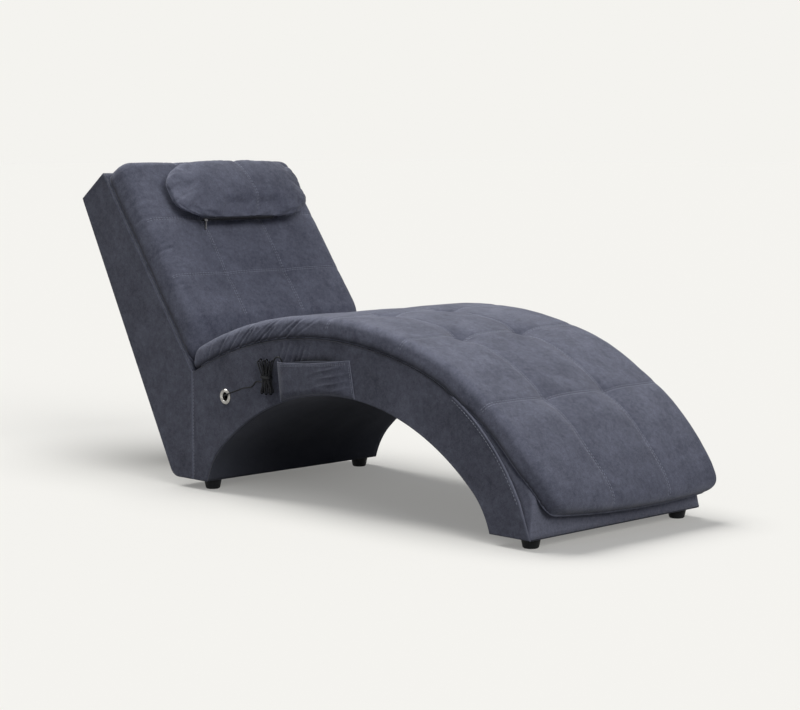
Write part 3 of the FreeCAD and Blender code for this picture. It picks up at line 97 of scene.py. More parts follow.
def seat_angle(length):
    if length <= CROWN_LENGTH:
        return FOLD_ANGLE + math.degrees(length / CROWN_RADIUS)
    return CROWN_TURN + math.degrees((length - CROWN_LENGTH) / FOOT_RADIUS)


def seat_length(angle):
    """How far along the seat line an angle lies from the fold."""
    if angle <= CROWN_TURN:
        return math.radians(angle - FOLD_ANGLE) * CROWN_RADIUS
    return CROWN_LENGTH + math.radians(angle - CROWN_TURN) * FOOT_RADIUS


def seat_point(angle, rise):
    if angle <= CROWN_TURN:
        return CROWN + spoke(angle) * (CROWN_RADIUS + rise)
    return FOOT + spoke(angle) * (FOOT_RADIUS + rise)


def wedge_rise(angle):
    share = (angle - FOOT_TURN + WEDGE_SPAN) / WEDGE_SPAN
    return WEDGE_HEIGHT * max(0.0, min(1.0, share))


def on_seat(length, y, rise):
    """A point of the seat cushion by its way along, its place across and its height."""
    angle = seat_angle(length)
    return solid(seat_point(angle, SOFT_GAP + wedge_rise(angle) + rise), y)


def seat_start(rise):
    angle = math.degrees(math.asin((FOLD_X - CROWN[0]) / (CROWN_RADIUS + SOFT_GAP + rise)))
    return math.radians(angle - FOLD_ANGLE) * CROWN_RADIUS + 0.5


def on_back(length, y, rise):
    return solid(FOLD + UP * length + OUT * (SOFT_GAP + rise), y)


def back_start(rise):
    return (SOFT_GAP + rise) * OUT[0] / -UP[0] + 0.5


# Meshes
def link(obj):
    SCENE.collection.objects.link(obj)
    return obj


def make_piece(name, points, faces, material, wear_and_shade=None, smooth=True):
    mesh = bpy.data.meshes.new(name)
    mesh.from_pydata([[float(c) * MM for c in point] for point in points], [], faces)
    # The per-point attribute: positive values are real rubbing, negative values are painted shade
    if wear_and_shade is not None:
        layer = mesh.attributes.new("wear_and_shade", "FLOAT", "POINT")
        layer.data.foreach_set("value", np.asarray(wear_and_shade, np.float32))
    tidy_mesh(mesh, smooth)
    mesh.materials.append(material)
    return link(bpy.data.objects.new(name, mesh))


def tidy_mesh(mesh, smooth=True):
    work = bmesh.new()
    work.from_mesh(mesh)
    bmesh.ops.recalc_face_normals(work, faces=work.faces)
    work.to_mesh(mesh)
    work.free()
    mesh.polygons.foreach_set("use_smooth", [smooth] * len(mesh.polygons))
    mesh.update()


def assign(body, slot, *pieces):
    for piece in pieces:
        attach(piece, body)


def evaluated(obj, **options):
    """A new mesh of a piece as its modifiers or its curve make it."""
    depsgraph = bpy.context.evaluated_depsgraph_get()
    return bpy.data.meshes.new_from_object(obj.evaluated_get(depsgraph), depsgraph=depsgraph, **options)


def settle(obj):
    """Apply a piece's modifiers to its mesh."""
    final = evaluated(obj, preserve_all_data_layers=True)
    obj.modifiers.clear()
    obj.data = final
    final.polygons.foreach_set("use_smooth", [True] * len(final.polygons))


def subdivide(obj):
    made = obj.modifiers.new("Smooth", "SUBSURF")
    made.levels = made.render_levels = 1
    settle(obj)


def coordinates(mesh):
    flat = np.zeros(len(mesh.vertices) * 3, np.float32)
    mesh.vertices.foreach_get("co", flat)
    return flat.reshape(-1, 3).astype(float)


def set_coordinates(mesh, points):
    mesh.vertices.foreach_set("co", np.asarray(points, np.float32).ravel())
    mesh.update()


def displaced(obj, move_at):
    """A piece's points, each moved along its normal by a function of its place, in millimetres."""
    points = coordinates(obj.data) / MM
    normals = np.array([v.normal[:] for v in obj.data.vertices])
    return points + normals * np.array([[move_at(*point)] for point in points])


CLOTH_FRAMES = 20
CLOTH = {"quality": 6, "mass": 0.25, "tension_stiffness": 20, "compression_stiffness": 20,
         "shear_stiffness": 8, "bending_stiffness": 0.6, "use_pressure": True, "vertex_group_mass": "pinned"}


def inflate(obj, pinned, pressure, cap, grow):
    """Swell a piece as cloth, and keep each point within a cap of where it was."""
    base = coordinates(obj.data)
    group = obj.vertex_groups.new(name="pinned")
    group.add(pinned, 1.0, "REPLACE")
    cloth = obj.modifiers.new("Cloth", "CLOTH")
    for name, value in CLOTH.items():
        setattr(cloth.settings, name, value)
    cloth.settings.uniform_pressure_force = pressure
    cloth.settings.effector_weights.gravity = 0
    cloth.settings.shrink_min = -grow
    cloth.point_cache.frame_start = 1
    cloth.point_cache.frame_end = CLOTH_FRAMES
    for number in range(1, CLOTH_FRAMES + 1):
        SCENE.frame_set(number)
    blown = evaluated(obj)
    move = coordinates(blown) - base
    bpy.data.meshes.remove(blown)
    size = np.linalg.norm(move, axis=1, keepdims=True)
    move *= np.minimum(1.0, cap * MM / np.maximum(size, 1e-9))
    obj.modifiers.remove(cloth)
    obj.vertex_groups.remove(group)
    set_coordinates(obj.data, base + move)
    SCENE.frame_set(1)


def ring_faces(count, rings, first=0):
    """Faces between closed rings of points that follow each other."""
    faces = []
    for k in range(rings - 1):
        a, b = first + k * count, first + (k + 1) * count
        faces += [(a + i, a + (i + 1) % count, b + (i + 1) % count, b + i) for i in range(count)]
    return faces


def grid_faces(rows, columns, first=0):
    return [(first + r * columns + c, first + r * columns + c + 1,
             first + (r + 1) * columns + c + 1, first + (r + 1) * columns + c)
            for r in range(rows - 1) for c in range(columns - 1)]


def rim_faces(rows, columns):
    """Faces that join the edges of two grids of points, the second's after the first's."""
    count, faces = rows * columns, []

    def close(a, b, flip):
        faces.append((a, b, count + b, count + a)[::flip])

    for k in range(rows - 1):
        for c, flip in ((0, 1), (columns - 1, -1)):
            close(k * columns + c, (k + 1) * columns + c, flip)
    for c in range(columns - 1):
        for k, flip in ((0, -1), (rows - 1, 1)):
            close(k * columns + c, k * columns + c + 1, flip)
    return faces


def tube_mesh(points, radius, sides=8, first=0, closed=False):
    """Points and faces of a round bar along a run of points."""
    points = [Vector(p) for p in points]
    made, faces = [], []
    count = len(points)
    side = None
    for i, point in enumerate(points):
        before = points[i - 1] if i or closed else point
        after = points[(i + 1) % count] if i < count - 1 or closed else point
        way = (after - before).normalized()
        if side is None:
            side = way.orthogonal().normalized()
        side = (side - way * side.dot(way)).normalized()
        other = way.cross(side)
        for k in range(sides):
            turn = 2 * math.pi * k / sides
            made.append(tuple(point + side * math.cos(turn) * radius + other * math.sin(turn) * radius))
    faces = ring_faces(sides, count, first)
    if closed:
        last = first + (count - 1) * sides
        faces += [(last + i, last + (i + 1) % sides, first + (i + 1) % sides, first + i)
                  for i in range(sides)]
    else:
        faces.append(tuple(range(first, first + sides)))
        faces.append(tuple(range(first + (count - 1) * sides, first + count * sides)))
    return made, faces


def tube_piece(name, line, radius, material, wear_and_shade, sides=8, closed=False):
    """A round bar along a line, worn the same all along or by a value for each point."""
    points, faces = tube_mesh(line, radius, sides, closed=closed)
    return make_piece(name, points, faces, material, np.repeat(np.broadcast_to(wear_and_shade, len(line)), sides))


def smooth_step(value):
    value = np.clip(value, 0.0, 1.0)
    return value * value * (3 - 2 * value)


def bump_at(distance, width):
    return np.exp(-(distance / width) ** 2)


def wave(point, scale, seed=0.0):
    """Smooth noise from -1 to 1 with a size in millimetres."""
    return noise.noise(Vector((point[0] / scale + seed, point[1] / scale, point[2] / scale)))


# Materials
def add_node(tree, kind, sockets=None, **values):
    """A new node with its values set, and its sockets set or joined to other nodes' outputs."""
    made = tree.nodes.new(kind)
    for name, value in values.items():
        setattr(made, name, value)
    for name, value in (sockets or {}).items():
        if isinstance(value, bpy.types.NodeSocket):
            tree.links.new(value, made.inputs[name])
        else:
            made.inputs[name].default_value = value
    return made


class Shader:
    """A material with a Principled shader and shorthand for its nodes."""

    def __init__(self, name, roughness, specular=0.3, metallic=0.0, sheen=0.0):
        self.material = bpy.data.materials.new(name)
        self.material.use_nodes = True
        self.tree = self.material.node_tree
        self.shader = self.tree.nodes["Principled BSDF"]
        for socket, value in (("Roughness", roughness), ("Specular IOR Level", specular), ("Metallic", metallic),
                              ("Sheen Weight", sheen), ("Sheen Roughness", 0.45)):
            self.shader.inputs[socket].default_value = value
        self.place = self.node("ShaderNodeTexCoord").outputs["Object"]

    def node(self, kind, sockets=None, **values):
        return add_node(self.tree, kind, sockets, **values)

    def noise(self, scale, detail=4.0, roughness=0.55, distortion=0.0, place=None):
        return self.node("ShaderNodeTexNoise", {
            "Scale": scale, "Detail": detail, "Roughness": roughness, "Distortion": distortion,
            "Vector": place or self.place}).outputs["Fac"]

    def cells(self, scale, feature="F1"):
        return self.node("ShaderNodeTexVoronoi", {"Scale": scale, "Vector": self.place},
                         feature=feature).outputs["Distance"]

    def ramp(self, source, *stops):
        made = self.node("ShaderNodeValToRGB", {"Fac": source})
        ramp = made.color_ramp
        while len(ramp.elements) < len(stops):
            ramp.elements.new(0.5)
        for element, (place, shade) in zip(ramp.elements, stops):
            element.position = place
            element.color = (shade if isinstance(shade, tuple) else (shade,) * 3) + (1.0,)
        return made.outputs["Color"]

    def math(self, kind, first, second):
        return self.node("ShaderNodeMath", {0: first, 1: second}, operation=kind).outputs[0]

    def total(self, *terms):
        """The sum of outputs, each taken by its share."""
        parts = [self.math("MULTIPLY", source, share) for source, share in terms]
        result = parts[0]
        for part in parts[1:]:
            result = self.math("ADD", result, part)
        return result

    def mix(self, share, first, second):
        made = self.node("ShaderNodeMix", data_type="RGBA")
        for name, value in (("Factor", share), ("A", first), ("B", second)):
            socket = next(s for s in made.inputs if s.name == name and s.enabled)
            if isinstance(value, bpy.types.NodeSocket):
                self.tree.links.new(value, socket)
            else:
                socket.default_value = value + (1.0,) if isinstance(value, tuple) else value
        return next(s for s in made.outputs if s.enabled)

    def stretched(self, across, along, upright):
        return self.node("ShaderNodeMapping", {"Scale": (across, along, upright),
                                               "Vector": self.place}).outputs["Vector"]

    def colour(self, source):
        self.tree.links.new(source, self.shader.inputs["Base Color"])

    def roughness(self, source):
        self.tree.links.new(source, self.shader.inputs["Roughness"])

    def bump(self, height, strength, distance):
        made = self.node("ShaderNodeBump", {"Strength": strength, "Distance": distance, "Height": height})
        self.tree.links.new(made.outputs["Normal"], self.shader.inputs["Normal"])


# Painted shade: the near black that a seam's or gap's negative value of the per-point attribute paints into the
# suede
GAP_SHADE = (0.010, 0.010, 0.014)


def worn_suede_with_painted_shade(name, dark, middle, light):
    """Distressed faux suede: soft clouds, fine leathery mottling, scuffs, creases, paler rubbed places, and
    painted shade where the per-point attribute is negative.
    """
    s = Shader(name, 0.8, specular=0.1, sheen=0.16)
    clouds = s.noise(4.2, 3.0, 0.5, 0.3)
    patches = s.noise(21.0, 6.0, 0.6, 0.35)
    mottle = s.noise(105.0, 8.0, 0.72, 0.3)
    grain = s.noise(420.0, 5.0, 0.65)
    blend = s.total((clouds, 0.2), (patches, 0.24), (mottle, 0.36), (grain, 0.2))
    base = s.ramp(blend, (0.38, dark), (0.5, middle), (0.635, light))
    blots = s.ramp(s.noise(64.0, 10.0, 0.78, 0.9), (0.3, 1.0), (0.43, 0.0))
    base = s.mix(s.math("MULTIPLY", blots, 0.32), base, dark)
    pale = tuple(min(1.0, c * 1.5 + 0.02) for c in light)
    scuffs = s.ramp(s.noise(58.0, 9.0, 0.74, 2.6), (0.485, 0.0), (0.5, 1.0), (0.515, 0.0))
    scuffed = s.math("MULTIPLY", scuffs, s.ramp(patches, (0.45, 0.0), (0.66, 0.4)))
    base = s.mix(scuffed, base, pale)
    # The per-point attribute: positive values pale the suede as real rubbing, negative values paint shade
    wear_and_shade = s.node("ShaderNodeAttribute", attribute_name="wear_and_shade").outputs["Fac"]
    rub_and_shade = s.math("MULTIPLY", wear_and_shade, s.ramp(s.noise(150.0, 9.0, 0.78), (0.34, 0.25), (0.6, 1.0)))
    base = s.mix(s.math("MINIMUM", rub_and_shade, 0.85), base, pale)
    # Painted shade: negative values of the attribute darken the colour towards GAP_SHADE
    base = s.mix(s.math("MULTIPLY", wear_and_shade, -0.9), base, GAP_SHADE)
    s.colour(base)
    s.roughness(s.ramp(blend, (0.38, 0.9), (0.62, 0.68)))
    creases = s.ramp(s.noise(70.0, 7.0, 0.7, 1.8), (0.46, 0.0), (0.5, 1.0), (0.54, 0.0))
    s.bump(s.total((grain, 0.4), (mottle, 0.6), (creases, -0.22)), 0.6, 0.0011)
    return s.material


def thread_like(name, colour, dark, scale):
    s = Shader(name, 0.7, specular=0.25, sheen=0.2)
    twist = s.noise(scale, 3.0, 0.6)
    s.colour(s.ramp(twist, (0.3, dark), (0.7, colour)))
    s.bump(twist, 0.5, 0.0003)
    return s.material


def moulded(name, colour, light, roughness, scale=420.0, specular=0.2):
    s = Shader(name, roughness, specular=specular)
    fine = s.noise(scale, 4.0, 0.6)
    s.colour(s.ramp(s.total((fine, 0.5), (s.noise(28.0), 0.5)), (0.35, colour), (0.7, light)))
    s.roughness(s.ramp(s.noise(90.0, 6.0), (0.3, roughness - 0.08), (0.7, min(1.0, roughness + 0.12))))
    s.bump(fine, 0.4, 0.00025)
    return s.material


def metal(name, colour, light, roughness):
    s = Shader(name, roughness, specular=0.5, metallic=1.0)
    brushed = s.noise(900.0, 3.0, 0.5, place=s.stretched(1.0, 0.08, 1.0))
    s.colour(s.ramp(s.noise(160.0, 5.0), (0.3, colour), (0.7, light)))
    s.roughness(s.ramp(brushed, (0.3, max(0.05, roughness - 0.08)), (0.7, roughness + 0.12)))
    s.bump(brushed, 0.15, 0.0001)
    return s.material


def wood(name, dark, light, along, across):
    s = Shader(name, 0.7, specular=0.3)
    grain = s.noise(30.0, 8.0, 0.65, 1.2, place=s.stretched(along, across, 1.0))
    fibre = s.noise(300.0, 4.0, 0.6, place=s.stretched(along, across, 1.0))
    s.colour(s.mix(0.3, s.ramp(grain, (0.35, dark), (0.65, light)), s.ramp(fibre, (0.3, dark), (0.7, light))))
    s.bump(fibre, 0.3, 0.0004)
    return s.material


def foam_like(name, dark, light):
    s = Shader(name, 0.95, specular=0.1)
    pores = s.cells(700.0)
    s.colour(s.ramp(s.total((pores, 0.6), (s.noise(25.0), 0.5)), (0.2, dark), (0.8, light)))
    s.bump(pores, 0.7, 0.0008)
    return s.material


def unwoven(name, dark, light):
    """Black lining felt: matted fibres and shallow press marks."""
    s = Shader(name, 0.93, specular=0.12, sheen=0.05)
    fibres = s.noise(520.0, 6.0, 0.7, 1.8)
    s.colour(s.ramp(s.total((fibres, 0.6), (s.noise(9.0, 5.0), 0.4)), (0.35, dark), (0.7, light)))
    s.bump(s.total((fibres, 1.0), (s.cells(330.0), -0.5)), 0.5, 0.0006)
    return s.material


def woven_tape(name, dark, light):
    s = Shader(name, 0.85, specular=0.2, sheen=0.1)
    ribs = s.node("ShaderNodeTexWave", {"Scale": 520.0, "Distortion": 0.6, "Vector": s.place},
                  bands_direction="Y").outputs["Fac"]
    s.colour(s.ramp(ribs, (0.2, dark), (0.8, light)))
    s.bump(ribs, 0.5, 0.0003)
    return s.material


def board_green(name):
    s = Shader(name, 0.4, specular=0.5)
    s.colour(s.ramp(s.cells(240.0, "DISTANCE_TO_EDGE"),
                    (0.03, (0.10, 0.22, 0.09)), (0.06, (0.015, 0.09, 0.035))))
    s.bump(s.noise(300.0), 0.2, 0.0002)
    return s.material


TOP_SUEDE = worn_suede_with_painted_shade("worn_suede_top_with_painted_shade", (0.084, 0.089, 0.121), (0.138, 0.146, 0.194), (0.204, 0.215, 0.278))
# The same suede painted darker, as painted shade on the frame's side covers, strips, wedge and pocket
SHADED_SIDE_SUEDE = worn_suede_with_painted_shade("worn_suede_side_painted_darker", (0.070, 0.073, 0.097), (0.117, 0.123, 0.161), (0.171, 0.179, 0.230))
THREAD = thread_like("pale_thread", (0.42, 0.44, 0.52), (0.24, 0.25, 0.31), 1600.0)
LINING = unwoven("black_lining", (0.056, 0.061, 0.078), (0.117, 0.123, 0.152))
BLACK_PLASTIC = moulded("black_plastic", (0.007, 0.008, 0.009), (0.018, 0.019, 0.022), 0.5)
GREY_PLASTIC = moulded("grey_plastic", (0.030, 0.031, 0.034), (0.052, 0.053, 0.058), 0.5)
RUBBER = moulded("button_rubber", (0.14, 0.145, 0.155), (0.20, 0.205, 0.215), 0.62)
CABLE = moulded("cable_rubber", (0.004, 0.005, 0.007), (0.012, 0.013, 0.018), 0.3, 700.0, specular=0.16)
BRIGHT = metal("bright_metal", (0.20, 0.195, 0.19), (0.48, 0.47, 0.45), 0.28)
NICKEL = metal("dark_nickel", (0.10, 0.10, 0.11), (0.22, 0.22, 0.235), 0.3)
STEEL = metal("zinc_steel", (0.42, 0.42, 0.43), (0.62, 0.62, 0.63), 0.35)
TIMBER = wood("pine_timber", (0.38, 0.24, 0.12), (0.62, 0.45, 0.27), 0.15, 1.0)
PLYWOOD = wood("plywood", (0.42, 0.29, 0.17), (0.66, 0.50, 0.33), 1.0, 0.2)
FOAM = foam_like("seat_foam", (0.62, 0.58, 0.45), (0.82, 0.78, 0.66))
TAPE = woven_tape("zip_tape_weave", (0.020, 0.021, 0.026), (0.050, 0.052, 0.062))
CIRCUIT = board_green("circuit_board")

SLOT_MATERIALS = {
    "suede": SHADED_SIDE_SUEDE, "lining": LINING, "foam": FOAM, "timber": TIMBER, "plywood": PLYWOOD,
    "steel": STEEL, "bright_metal": BRIGHT, "black_plastic": BLACK_PLASTIC,
    "grey_plastic": GREY_PLASTIC, "button_rubber": RUBBER, "cable_rubber": CABLE,
    "circuit": CIRCUIT, "zip_tape": TAPE,
}


def dress_nodes():
    """Give every CAD node the material of its slot."""
    slots = {part["node"]: part["material_slot"] for part in frame["record"]["subparts"]}
    for name, node in NODES.items():
        made = NICKEL if name in ("zip_pull", "zip_slider") else SLOT_MATERIALS[slots[name]]
        for place in range(len(node.data.materials)):
            node.data.materials[place] = made
        if not node.data.materials:
            node.data.materials.append(made)


dress_nodes()


# Camera
def set_camera():
    """The photograph's view: 45.4 degrees round from the side, just above the cushions."""
    data = bpy.data.cameras.new("photo_camera")
    data.sensor_fit = "HORIZONTAL"
    data.sensor_width = 36.0
    data.lens = 92.06
    camera = link(bpy.data.objects.new("photo_camera", data))
    turn, drop = math.radians(45.40), math.radians(5.943)
    back = Vector((math.sin(turn) * math.cos(drop), -math.cos(turn) * math.cos(drop), math.sin(drop)))
    camera.location = (3.2196, -3.1115, 0.7721)
    camera.rotation_euler = (-back).to_track_quat("-Z", "Y").to_euler()
    SCENE.camera = camera


set_camera()

# Cords. Control points of the cable's routes, in millimetres, as in the part's source
CABLE_ROUTE = (
    (-213, -236, 218), (-213, -251, 218), (-211.5, -267, 219), (-203, -275.5, 222.5),
    (-187, -273, 228.5), (-168, -267.5, 235.5), (-147, -266.6, 243.5), (-131, -266.8, 245),
    (-117, -267, 248.5), (-106, -267, 261), (-94.4, -267, 261),
)
CABLE_END_ROUTE = (
    (-56.6, -267, 276), (-56.6, -267, 282), (-53, -267.5, 292), (-47.5, -269.5, 303),
    (-41, -271.5, 313), (-32, -273, 319.5), (-21, -273.5, 320), (-13.5, -273.5, 312.5),
    (-13, -273, 301.5), (-17, -272.5, 291), (-19, -272, 281.5), (-13.5, -271.6, 274.3),
    (-2.9, -271.2, 272.9), (6.0, -271.2, 273.9),
)
CABLE_RADIUS = 1.5
HANK_X, HANK_MIDDLE, HANK_LOOPS = -68.0, 273.0, 6
HANK_WAIST_PITCH, HANK_REAR, HANK_FRONT = 3.3, -267.0, -273.0
HANK_BEND = 3.9


def nurbs(name, points, radius, material):
    """A smooth round cord whose spline is steered by a route's points."""
    curve = bpy.data.curves.new(name, "CURVE")
    curve.dimensions = "3D"
    spline = curve.splines.new("NURBS")
    spline.points.add(len(points) - 1)
    for made, point in zip(spline.points, points):
        made.co = (point[0] * MM, point[1] * MM, point[2] * MM, 1.0)
    spline.order_u = 3
    spline.use_endpoint_u = True
    spline.resolution_u = 6
    curve.bevel_depth = radius * MM
    curve.bevel_resolution = 3
    curve.use_fill_caps = True
    curve.materials.append(material)
    return link(bpy.data.objects.new(name, curve))


def centreline(obj):
    """The points that a curve's own spline passes through."""
    copy = obj.copy()
    copy.data = obj.data.copy()
    copy.data.bevel_depth = 0.0
    mesh = evaluated(link(copy))
    points = [v.co.copy() for v in mesh.vertices]
    bpy.data.objects.remove(copy)
    bpy.data.meshes.remove(mesh)
    return points


def run_length(points):
    return sum((b - a).length for a, b in zip(points, points[1:]))


# Each turn of the hank: how far its ends spread, and how far they reach above and below
HANK_TURNS = (
    (-24.5, 33.0, -20.0, 31.0), (-18.5, 37.5, -14.5, 36.0), (-9.0, 34.5, -9.5, 33.0),
    (0.5, 38.0, -1.5, 37.0), (9.0, 33.5, 7.5, 32.5), (19.0, 36.5, 14.0, 35.5), (21.0, 32.0, 19.0, 32.0),
)


def hank_points():
    """Fourteen points a turn: up behind, over the end, down in front, and under."""
    def waist(index):
        return HANK_X + (index - HANK_LOOPS / 2) * HANK_WAIST_PITCH

    def tip(turn, way):
        return HANK_TURNS[turn][:2] if way > 0 else HANK_TURNS[turn][2:]

    def strand(index, turn, share, y, way):
        spread, reach = tip(turn, way)
        end = HANK_X + spread
        bow = 1.4 * math.sin(math.pi * share) * (1 if turn % 2 else -1)
        return (waist(index) + (end - waist(index)) * share ** 1.25 + bow, y,
                HANK_MIDDLE + way * (reach - HANK_BEND) * share)

    def over(turn, y, way):
        spread, reach = tip(turn, way)
        return (HANK_X + spread, y, HANK_MIDDLE + way * reach)

    points = [(-88.4, HANK_REAR, 261.0), (waist(0) - 1.4, HANK_REAR, 261.6), (waist(0), HANK_REAR, 268.5)]
    for index in range(HANK_LOOPS):
        after = index + 1
        points += [strand(index, index, share, HANK_REAR, 1) for share in (0.12, 0.55, 1.0)]
        points += [over(index, HANK_REAR, 1), over(index, HANK_FRONT, 1)]
        points += [strand(index, index, share, HANK_FRONT, 1) for share in (1.0, 0.55)]
        points += [strand(index + 0.5, index, 0.05, HANK_FRONT, -1)]
        points += [strand(after, after, share, HANK_FRONT, -1) for share in (0.55, 1.0)]
        points += [over(after, HANK_FRONT, -1), over(after, HANK_REAR, -1)]
        points += [strand(after, after, share, HANK_REAR, -1) for share in (1.0, 0.55)]
    end_x, _, end_z = CABLE_END_ROUTE[0]
    return points + [(end_x, HANK_REAR, end_z - 6.0), (end_x, HANK_REAR, end_z)]


def make_cords():
    lead = nurbs("hand_cable_and_hank", list(CABLE_ROUTE[:-1]) + [(-97.0, -267, 261)] + hank_points(),
                 CABLE_RADIUS, CABLE)
    length = run_length(centreline(lead))
    print("hand_cable_and_hank centreline %.0f mm" % (length / MM))
    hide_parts("hand_cable", "cable_hank")
    assign("frame", "cable_rubber", lead)
    guide = nurbs("end_guide", CABLE_END_ROUTE, CABLE_RADIUS, CABLE)
    path = centreline(guide)
    bpy.data.objects.remove(guide)
    print("hand_cable_end centreline %.0f mm" % (run_length(path) / MM))
    points, faces = tube_mesh([p / MM for p in path], CABLE_RADIUS, 10)
    last = make_piece("hand_cable_end_run", points, faces, CABLE)
    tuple(path[0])
    [list(p) for p in path]
    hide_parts("hand_cable_end")
    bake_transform(last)


make_cords()


# Cushions
def rounded(distance, radius):
    """How far a rounded edge lies inside its corner, by the distance from its end."""
    if distance >= radius:
        return 0.0
    return radius - math.sqrt(max(0.0, radius ** 2 - (radius - distance) ** 2))


BESIDE_MARK = (3.2, 7.0)


def spaced(first, last, step, marks=()):
    """Places at a step, drawn closer together beside each mark."""
    count = max(1, round((last - first) / step))
    plain = [first + (last - first) * i / count for i in range(count + 1)]
    clear = BESIDE_MARK[-1] * 1.45
    kept = [p for p in plain if p in (first, last) or all(abs(p - m) > clear for m in marks)]
    for mark in marks:
        kept += [mark + side * gap for side in (-1, 1) for gap in BESIDE_MARK] + [mark]
    return sorted(k for k in kept if first <= k <= last)


# How far in from its far end a cushion narrows and swells, its steady middle, and what tufts hold
NARROWS, SWELLS, STEADY, TUFT_HOLD = 120.0, 75.0, 110.0, 16
PIPE_RISE, PIPE_INSET = 1.8, 3.0


class Cushion:
    """A crowned box cushion with long seams, cross seams and pulled-down tufts."""

    sideways, taper, fuller_end = 0.0, (0.0, 0.0), (0.0, 0.0, 0.0)

    def __init__(self, **form):
        vars(self).update(form)
        reach = self.half - self.shoulder
        self.columns = spaced(-reach, reach, 9.5, (-self.seam_y[0], self.seam_y[1]))
        turned = [1 - math.cos(math.radians(turn)) for turn in (20, 35, 50, 65, 80)]
        places = [self.start_top * share for share in turned]
        places += spaced(self.start_top, self.length - self.end_top, 7.5, self.cross)
        places += [self.length - self.end_top * share for share in turned[::-1]]
        self.rows = [(0.0, share) for share in (0.03, 0.3, 0.6, 0.85, 1.0)]
        self.rows += [(place, 1.0) for place in places]
        self.rows += [(self.length, share) for share in (1.0, 0.76, 0.52, 0.28, 0.03)]

    def at(self, along, y, rise):
        """A point by its place along and across the cushion, as the real one is set down."""
        first = self.start(rise)
        near_end = float(smooth_step((along - self.length + NARROWS) / NARROWS))
        full, skew, middle = self.fuller_end
        share = y / self.half
        tip = float(smooth_step((along - self.length + SWELLS) / SWELLS))
        extra = tip * (full + skew * share + middle * (1 - min(1.0, share * share)))
        way = first + (self.length - first) * (along / self.length) + extra
        shift, narrow = self.taper
        y = y * (1 - narrow * near_end) + shift * near_end + self.sideways
        return self.place(way, y, rise)

    def to_seam(self, across):
        return min(abs(across + self.seam_y[0]), abs(across - self.seam_y[1]))

    def to_cross(self, along):
        return min(abs(along - mark) for mark in self.cross)

    def pull(self, along, across):
        """How far the cover is drawn down at a place on top."""
        seam, cross = self.to_seam(across), self.to_cross(along)
        depth = max(self.long_depth * bump_at(seam, 6.0), self.cross_depth * bump_at(cross, 6.0))
        depth += 0.7 * self.long_depth * bump_at(seam, 36.0)
        depth += 0.5 * self.cross_depth * bump_at(cross, 40.0)
        for mark, side, share in self.tufts:
            away = math.hypot((along - mark) * 0.9, across - side)
            depth += self.tuft_depth * share * bump_at(away, self.tuft_width)
            depth += 0.45 * self.tuft_depth * share * bump_at(away, 0.4 * self.tuft_width)
        return depth

    def half_at(self, along, side):
        """How far a side lies from the middle, before its shoulder is rounded."""
        corner = self.end_plan[0] if side < 0 else self.end_plan[1]
        return self.half - rounded(self.length - along, corner) - rounded(along, self.start_plan)

    def ring(self, along, share):
        """Points, per-point values of rubbing and painted shade, and pins of one closed cross section."""
        from_end = self.length - along
        top = self.height - rounded(along, self.start_top) - rounded(from_end, self.end_top)
        low = rounded(along, self.start_low)
        top = low + (top - low) * share
        edge = min(self.shoulder, (top - low) * 0.8)
        full = self.half - self.shoulder
        points, wear_and_shade, pins = [], [], []

        def put(y, rise, rub_and_shade, pinned):
            points.append(self.at(along, y, rise))
            wear_and_shade.append(rub_and_shade)
            pins.append(pinned)

        def column(y):
            if abs(y) <= STEADY:
                return y
            side = 1 if y > 0 else -1
            reach = self.half_at(along, side) - edge
            return side * (STEADY + (abs(y) - STEADY) * (reach - STEADY) / (full - STEADY))

        depth_share = smooth_step((top - low) / self.height) if share >= 1 else 0.0
        at_end = share < 1 or along in (0.0, self.length)
        cross_pull = self.cross_depth * bump_at(self.to_cross(along), 8.0)

        def flank(side):
            """Places from the shoulder down to the lower edge on one side."""
            half = self.half_at(along, side)
            made = []
            for turn in (15, 30, 45, 60, 75, 90):
                sine, cosine = math.sin(math.radians(turn)), math.cos(math.radians(turn))
                made.append((side * (half - edge + edge * sine - 0.5 * cross_pull * sine * depth_share),
                             top - edge + edge * cosine - cross_pull * cosine * depth_share,
                             0.1 * math.sin(math.radians(2 * turn)) ** 2, False))
            # Painted shade: negative values darken the lower half of the side, down to the gap under it
            for fall in (0.2, 0.4, 0.6, 0.8, 1.0):
                bulge = self.bulge * math.sin(math.pi * fall) * share - self.draw * fall ** 3
                made.append((side * (half + bulge - 0.4 * cross_pull * depth_share * (1 - fall)),
                             (top - edge) + (low - top + edge) * fall,
                             -0.9 * smooth_step((fall - 0.45) / 0.55) if share >= 1 else 0.0, fall > 0.9))
            return made

        for y in self.columns:
            place = column(y)
            depth = self.pull(along, place) * depth_share
            sewn = min(self.to_seam(place), self.to_cross(along)) < 0.5
            tufted = any(math.hypot(along - mark, place - side) < TUFT_HOLD for mark, side, _ in self.tufts)
            put(place, top - depth, 0.25 * bump_at(from_end, 9.0) * (share >= 1), sewn or tufted or at_end)
        for y, rise, rub_and_shade, pinned in flank(1):
            put(y, rise, rub_and_shade, pinned or at_end)
        for y in reversed(self.columns):
            put(column(y), low, 0.0, True)
        for y, rise, rub_and_shade, pinned in reversed(flank(-1)):
            put(y, rise, rub_and_shade, pinned or at_end)
        return points, wear_and_shade, pins

